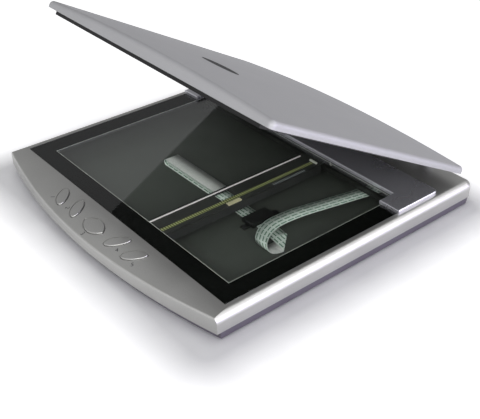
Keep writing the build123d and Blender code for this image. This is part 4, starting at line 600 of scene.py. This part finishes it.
# %% Numbers printed beside the keys
def surface_below(tree, x, y, start=0.1):
    """Height of a surface under a point. A ray that slips between two triangles tries again beside it."""
    for hair in (0.0, 0.003 * MM, -0.003 * MM, 0.007 * MM):
        hit = tree.ray_cast(Vector((x + hair, y + hair / 2, start)), Vector((0, 0, -1)))[0]
        if hit is not None:
            return hit.z
    raise ValueError(f"nothing under {x}, {y}")


panel_tree = BVHTree.FromObject(nodes["upper_housing"], bpy.context.evaluated_depsgraph_get())
panel_ink = grained("pad_printed_ink", "#29292b", "#343436", 0.3, 0.0, (0.6, 0.7), IOR=1.5)
KEY_TURNS = {1: -47.0, 2: -54.0, 3: 0.0, 4: 54.0, 5: 47.0}
NUMBER_SIZE = 6.4 * MM
NUMBER_REACH = {1: 10.8, 2: 10.8, 3: 12.8, 4: 11.6, 5: 11.6}
INK_LIFT = 0.05 * MM
for number, turn in KEY_TURNS.items():
    low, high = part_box(f"button_{number}")
    centre = (low + high) / 2
    angle = math.radians(turn)
    across = Vector((math.sin(angle), -math.cos(angle), 0))
    words = bpy.data.curves.new(f"number_{number}", "FONT")
    words.body = str(number)
    words.size = NUMBER_SIZE
    words.align_x = "CENTER"
    words.align_y = "CENTER"
    written = bpy.data.objects.new("writing", words)
    flat = bpy.data.meshes.new_from_object(written)
    bpy.data.objects.remove(written)
    shape = bmesh.new()
    shape.from_mesh(flat)
    bpy.data.meshes.remove(flat)
    bmesh.ops.subdivide_edges(shape, edges=shape.edges[:], cuts=1)
    spot = centre + across * NUMBER_REACH[number] * MM
    bmesh.ops.rotate(shape, verts=shape.verts, matrix=Matrix.Rotation(angle, 3, "Z"))
    bmesh.ops.translate(shape, verts=shape.verts, vec=(spot.x, spot.y, 0))
    for v in shape.verts:
        v.co.z = surface_below(panel_tree, v.co.x, v.co.y) + INK_LIFT
    finished_piece(f"printed_number_{number}", shape, "casing", "base", smooth=False, finish=panel_ink)
print("numbers printed:", len(KEY_TURNS))

# %% [markdown]
# A row of short tinned pins lies on the scan head beside the lens, with their ends just over its edge. One
# pin is a small flat block. The row is that block repeated at a fixed pitch.

# %% Pins on the carriage
PIN_X = 51.3 * MM
PIN_FROM = 19.6 * MM
PIN_TO = 61.5 * MM
PINS = 17
PIN_HALF_LENGTH = 1.5 * MM
PIN_HALF_WIDTH = 0.35 * MM
PIN_HEIGHT = 0.16 * MM
head_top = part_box("head_housing")[1].z
pitch = (PIN_TO - PIN_FROM) / (PINS - 1)
pin_row = bmesh.new()
for index in range(PINS):
    y = PIN_FROM + pitch * index
    pin = block_shape(
        (PIN_X - PIN_HALF_LENGTH, y - PIN_HALF_WIDTH, head_top),
        (PIN_X + PIN_HALF_LENGTH, y + PIN_HALF_WIDTH, head_top + PIN_HEIGHT),
    )
    loose = bpy.data.meshes.new("pin")
    pin.to_mesh(loose)
    pin.free()
    pin_row.from_mesh(loose)
    bpy.data.meshes.remove(loose)
tin = grained("dull_tin", "#c6c9cc", "#d6d9db", 0.4, 0.004, (0.55, 0.65), Metallic=0.4)
finished_piece("sensor_pins", pin_row, "socket_metal", "carriage", smooth=False, finish=tin)
print("pin pitch in mm:", round(pitch / MM, 2))

# %% [markdown]
# A flat cable bends easily across its width and hardly at all in its own plane. So it is made the way a
# hand lays it: start from one edge, extrude it forward, and turn the heading about that edge wherever the
# cable bends. If the edge lies at 45 degrees across the cable, the same turn makes the flat fold that sends
# it off at a right angle. Each new edge also notes how far along it is, which becomes the map for the
# stripes.

# %% A hand that lays ribbon
class Ribbon:
    """A strip that grows from one edge by runs and bends."""

    def __init__(self, left, right, heading):
        self.shape = bmesh.new()
        self.along = self.shape.verts.layers.float.new("along")
        self.across = self.shape.verts.layers.float.new("across")
        self.heading = Vector(heading).normalized()
        self.printed_side = (Vector(right) - Vector(left)).cross(self.heading)
        self.left = self.shape.verts.new(left)
        self.right = self.shape.verts.new(right)
        self.left[self.across] = 0.0
        self.right[self.across] = 1.0
        self.edge = self.shape.edges.new((self.left, self.right))

    def grow(self, left_step, right_step):
        """Extrude the leading edge and move its two ends."""
        grown = bmesh.ops.extrude_edge_only(self.shape, edges=[self.edge])["geom"]
        self.edge = next(e for e in grown if isinstance(e, bmesh.types.BMEdge))
        for v in self.edge.verts:
            step = left_step if v[self.across] < 0.5 else right_step
            v.co += self.heading * step
            v[self.along] += step
        self.left, self.right = sorted(self.edge.verts, key=lambda v: v[self.across])

    def run(self, length, parts=1):
        """Go straight on."""
        for _ in range(parts):
            self.grow(length / parts, length / parts)

    def slant(self, left_more, right_more):
        """Go on further at one side than at the other, so that the edge lies slanted."""
        self.grow(left_more, right_more)

    def bend(self, angle, radius, parts=12):
        """Curve about the leading edge, by an angle in degrees."""
        axis = (self.right.co - self.left.co).normalized()
        slope = math.sqrt(1 - self.heading.dot(axis) ** 2)
        step = math.radians(abs(angle)) * radius / slope / parts
        half = Matrix.Rotation(math.radians(angle) / parts / 2, 3, axis)
        for _ in range(parts):
            self.heading = half @ self.heading
            self.run(step)
            self.heading = half @ self.heading

    def turn(self, left_step, right_step, angle):
        """Ease sideways in its own plane: one side goes further, and the heading follows by an angle."""
        self.grow(left_step, right_step)
        normal = (self.right.co - self.left.co).cross(self.heading).normalized()
        self.heading = Matrix.Rotation(math.radians(angle), 3, normal) @ self.heading

    def ease(self, count, step, angle):
        """A slow curve in its own plane, by a number of equal turns."""
        for _ in range(count):
            self.turn(step, step, angle)

    def piece(self, name, thickness, body=None):
        """Map the stripes, give the film its thickness and hand over the finished piece."""
        layer = self.shape.loops.layers.uv.new("UVMap")
        for face in self.shape.faces:
            for loop in face.loops:
                loop[layer].uv = (loop.vert[self.along], loop.vert[self.across])
        self.shape.faces.ensure_lookup_table()
        self.shape.normal_update()
        if self.shape.faces[0].normal.dot(self.printed_side) < 0:
            bmesh.ops.reverse_faces(self.shape, faces=self.shape.faces[:])
        done = finished_piece(name, self.shape, "ribbon", body)
        done.data.materials.append(ribbon_back)
        film = done.modifiers.new("film", "SOLIDIFY")
        film.thickness = thickness
        film.offset = 0.0
        film.material_offset = 1
        return done


# %% [markdown]
# Seen from the right the cable comes out of its ferrite block along the floor, is folded under itself
# towards the front, rolls up and back over, and runs in a slow curve to the control board at the rear. None
# of that moves. A wide flat cable that leans sideways while it rolls is what a hand leaves behind after
# assembly.

# %% The ribbon from the ferrite block to the control board
FILM = 0.3 * MM
CABLE_WIDTH = 17.2 * MM
OFF_CENTRE = 1.5 * MM
cable_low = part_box("flat_cable")[0]
ferrite_low, ferrite_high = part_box("ferrite_block")
board_low, board_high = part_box("main_board")
cable_y = (ferrite_low.y + ferrite_high.y) / 2 - OFF_CENTRE
half_cable = CABLE_WIDTH / 2
floor_level = cable_low.z + FILM / 2
board_level = board_high.z + FILM / 2
FIRST_STEP = 1.0 * MM
DRIFT = math.radians(8.1)
CLIMB = 2.4
CLIMB_RADIUS = 5.0 * MM
CLIMB_SHARE = 0.9
CREASE_X = 107.0 * MM
CREASE_RADIUS = 0.45 * MM
CREASE_SLACK = 0.2 * MM
BEFORE_ROLL = 1.1 * MM
ROLL_RADIUS = 4.0 * MM
DIP = 2.15
DIP_RADIUS = 20.0 * MM
BOARD_OVERLAP = 1.5 * MM
FLOOR_CURVE = (4, 2.0 * MM, 9.4)
SWING_BACK = (8, 4.85 * MM, -5.2)
SLOW_CURVE = (5, 6.0 * MM, -1.9)
start_x = (ferrite_low.x + ferrite_high.x) / 2

resting = Ribbon(
    (start_x, cable_y + half_cable, floor_level), (start_x, cable_y - half_cable, floor_level), (1, 0, 0)
)
resting.run(ferrite_high.x - start_x, 2)
resting.turn(FIRST_STEP, FIRST_STEP, -math.degrees(DRIFT))
resting.bend(CLIMB, CLIMB_RADIUS, 2)
resting.run(CLIMB_SHARE * (CREASE_X - resting.left.co.x) / math.cos(DRIFT), 2)
resting.bend(-CLIMB, CLIMB_RADIUS, 2)
resting.run((CREASE_X - resting.left.co.x) / math.cos(DRIFT))
resting.slant(0.0, 2 * half_cable)
resting.bend(-180, CREASE_RADIUS, 8)
resting.slant(2 * half_cable * (1 + math.sin(DRIFT)) + CREASE_SLACK, 0.0)
resting.ease(*FLOOR_CURVE)
resting.run(BEFORE_ROLL)
resting.bend(-180 - DIP, ROLL_RADIUS, 24)
resting.ease(*SWING_BACK)
resting.bend(DIP, DIP_RADIUS, 3)
resting.ease(*SLOW_CURVE)
board_edge = board_low.y + BOARD_OVERLAP
resting.run((board_edge - resting.left.co.y) / resting.heading.y, 6)
rise = board_level - resting.left.co.z
cable_end = (resting.left.co + resting.right.co) / 2
print("ribbon ends at mm:", [round(c / MM, 1) for c in cable_end], "off by", round(rise / MM, 2))
ribbon_resting = resting.piece("ribbon_resting", FILM, "base")
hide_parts("flat_cable")

# %% [markdown]
# The part left of the ferrite block does move. It runs left along the floor, turns over in a loop and comes
# back under the carriage. When the carriage travels, the loop travels half as far. So the cable is cut at
# the middle of its loop into two halves.

# %% The rolling loop in two halves
ENTRY_INSET = 5 * MM
ENTRY_RADIUS = 1.5 * MM
LOOP_INSET = 3.45 * MM
INTO_FERRITE = 8 * MM
under_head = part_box("head_housing")[0].z
entry_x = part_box("carriage_frame")[0].x + ENTRY_INSET
loop_x = cable_low.x + LOOP_INSET
loop_radius = (board_level - floor_level) / 2
left_end = ferrite_low.x + INTO_FERRITE

lower = Ribbon(
    (left_end, cable_y - half_cable, floor_level), (left_end, cable_y + half_cable, floor_level), (-1, 0, 0)
)
lower.run(left_end - loop_x, 16)
lower.bend(90, loop_radius, 12)
lower_half = lower.piece("ribbon_lower_half", FILM)
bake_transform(lower_half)

upper = Ribbon(
    (entry_x, cable_y + half_cable, under_head), (entry_x, cable_y - half_cable, under_head), (0, 0, -1)
)
upper.run(under_head - board_level - ENTRY_RADIUS)
upper.bend(-90, ENTRY_RADIUS, 6)
upper.run(upper.left.co.x - loop_x, 16)
upper.bend(90, loop_radius, 12)
print("upper half ends at mm:", [round(c / MM, 2) for c in upper.left.co])
upper_half = upper.piece("ribbon_upper_half", FILM)
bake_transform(upper_half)

# %% [markdown]
# One short piece of the same cable lies on the scan head, between the light guide and the lens. It is flat,
# so one straight run makes it.

# %% The lead on the scan head
lead_low, lead_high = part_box("head_ribbon")
lead_level = lead_high.z - FILM / 2
lead = Ribbon((lead_low.x, lead_high.y, lead_level), (lead_low.x, lead_low.y, lead_level), (1, 0, 0))
lead.run(lead_high.x - lead_low.x, 4)
head_lead = lead.piece("ribbon_on_head", FILM, "carriage")
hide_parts("head_ribbon")

# %% [markdown]
# The floor is a plain pale table that carries on past the picture. Its top has a painted glow that starts a
# finger's width away from the scanner and grows to full over four centimetres. So near the scanner only
# the lamps' soft shadow shows, and further out the painted light makes the table white.

# %% Pale table with a painted glow
TABLE_HALF = 6.0
PAINTED_GLOW_FROM = 0.012
PAINTED_GLOW_FULL = 0.052
table_finish = grained(
    "pale_table_with_painted_glow", "#f1f1f2", "#f6f6f7", 30.0, 0.0, (0.5, 0.6),
    **{"IOR": 1.49, "Emission Color": linear("#ffffff")},
)
footprint = (0.18, 0.165, 0.0)
place = add(table_finish, "ShaderNodeTexCoord").outputs["Object"]
mirrored = add(table_finish, "ShaderNodeVectorMath", {"operation": "ABSOLUTE"}, {0: place})
beyond = add(
    table_finish, "ShaderNodeVectorMath", {"operation": "SUBTRACT", 1: footprint}, {0: mirrored.outputs[0]}
)
outside = add(
    table_finish,
    "ShaderNodeVectorMath",
    {"operation": "MAXIMUM", 1: (0.0, 0.0, 0.0)},
    {0: beyond.outputs[0]},
)
away = add(table_finish, "ShaderNodeVectorMath", {"operation": "LENGTH"}, {0: outside.outputs[0]})
# Painted light: the glow grows with the distance from the scanner's footprint.
painted_glow = add(
    table_finish,
    "ShaderNodeMapRange",
    {"From Min": PAINTED_GLOW_FROM, "From Max": PAINTED_GLOW_FULL, "To Min": 0.0, "To Max": 0.58},
    {"Value": away.outputs["Value"]},
)
table_surface = next(n for n in table_finish.node_tree.nodes if n.type == "BSDF_PRINCIPLED")
table_finish.node_tree.links.new(painted_glow.outputs[0], table_surface.inputs["Emission Strength"])
table_top = bmesh.new()
bmesh.ops.create_grid(table_top, x_segments=1, y_segments=1, size=TABLE_HALF)
table_mesh = bpy.data.meshes.new("table")
table_top.to_mesh(table_mesh)
table_top.free()
table_mesh.materials.append(table_finish)
table = bpy.data.objects.new("table", table_mesh)
bpy.context.scene.collection.objects.link(table)
print("table width in m:", 2 * TABLE_HALF)

# %% [markdown]
# The studio is dim behind the scanner and bright on the right. That is why the glass looks dark, although
# the table is white: at this angle it mirrors the dim back of the studio. The world is made of two tones
# that follow the direction, so the dim side stays where it is from every view.

# %% Dim back and pale front of the studio
BRIGHT_SIDE = (0.70, -0.55, 0.45)
studio = bpy.data.worlds.new("studio")
studio.use_nodes = True
studio_tree = studio.node_tree
direction = studio_tree.nodes.new("ShaderNodeTexCoord")
towards = studio_tree.nodes.new("ShaderNodeVectorMath")
towards.operation = "DOT_PRODUCT"
towards.inputs[1].default_value = BRIGHT_SIDE
studio_tree.links.new(direction.outputs["Generated"], towards.inputs[0])
ramp = studio_tree.nodes.new("ShaderNodeMapRange")
ramp.inputs["From Min"].default_value = -0.6
ramp.inputs["From Max"].default_value = 0.8
ramp.inputs["To Min"].default_value = 0.27
ramp.inputs["To Max"].default_value = 0.82
studio_tree.links.new(towards.outputs["Value"], ramp.inputs["Value"])
studio_tree.links.new(ramp.outputs["Result"], studio_tree.nodes["Background"].inputs["Strength"])
studio_tree.nodes["Background"].inputs["Color"].default_value = linear("#fafafc")
bpy.context.scene.world = studio
print("studio:", studio.name)

# %% [markdown]
# A tall soft wall in two leaves stands on the right, a little behind, with a third leaf above it. Together
# they draw the white band along the side rail. Two boxes in front look in under the open cover and light
# the works below the glass, where nothing else reaches. All are large and far away, so shadows are soft. A
# low violet-tinted panel colours the upright sides. The leaves on the right are there for their sheen
# alone, or the table would lose its soft shadow along the scanner's side. Flags keep the two boxes in front
# off the table too.

# %% Soft boxes
flags = bpy.data.collections.new("flags")
flags.objects.link(table)
flags.collection_objects[0].light_linking.link_state = "EXCLUDE"


def soft_box(name, place, target, width, height, radiance, colour, sheen_only=False, flagged=False):
    """A rectangular area light that faces a point. Radiance counts white paper in the picture as 1."""
    light = bpy.data.lights.new(name, "AREA")
    light.shape = "RECTANGLE"
    light.size = width
    light.size_y = height
    light.energy = radiance * width * height * math.pi
    light.color = linear(colour)[:3]
    box = bpy.data.objects.new(name, light)
    aim = (Vector(target) - Vector(place)).to_track_quat("-Z", "Y")
    box.matrix_world = Matrix.Translation(place) @ aim.to_matrix().to_4x4()
    bpy.context.scene.collection.objects.link(box)
    box.visible_diffuse = not sheen_only
    if flagged:
        box.light_linking.receiver_collection = flags


soft_box("wall_high", (2.0, 1.5, 1.9), (0.0, 0.0, 0.2), 2.0, 1.2, 3.6, "#fbf8ff", sheen_only=True)
soft_box("wall_low", (2.3, 1.4, 0.55), (0.0, 0.0, 0.2), 2.0, 1.0, 4.8, "#e9e1ff", sheen_only=True)
soft_box("rail_top", (0.5, 1.35, 2.35), (0.1, 0.0, 0.2), 1.2, 1.1, 2.6, "#ffffff", sheen_only=True)
soft_box("front_right", (2.4, -0.55, 1.15), (0.0, 0.0, 0.1), 1.4, 1.2, 4.7, "#ffffff", flagged=True)
soft_box("beside_camera", (1.3, -1.8, 1.5), (0.0, 0.0, 0.1), 1.4, 1.2, 5.0, "#ffffff", flagged=True)
soft_box("front_left", (-1.4, -1.6, 2.0), (0.0, 0.0, 0.1), 1.6, 1.4, 0.6, "#ffffff")
soft_box("panel_low", (2.2, 0.1, 0.28), (0.1, 0.0, 0.03), 1.6, 0.5, 3.0, "#c6b8f6")
bpy.context.scene.view_settings.view_transform = "Standard"
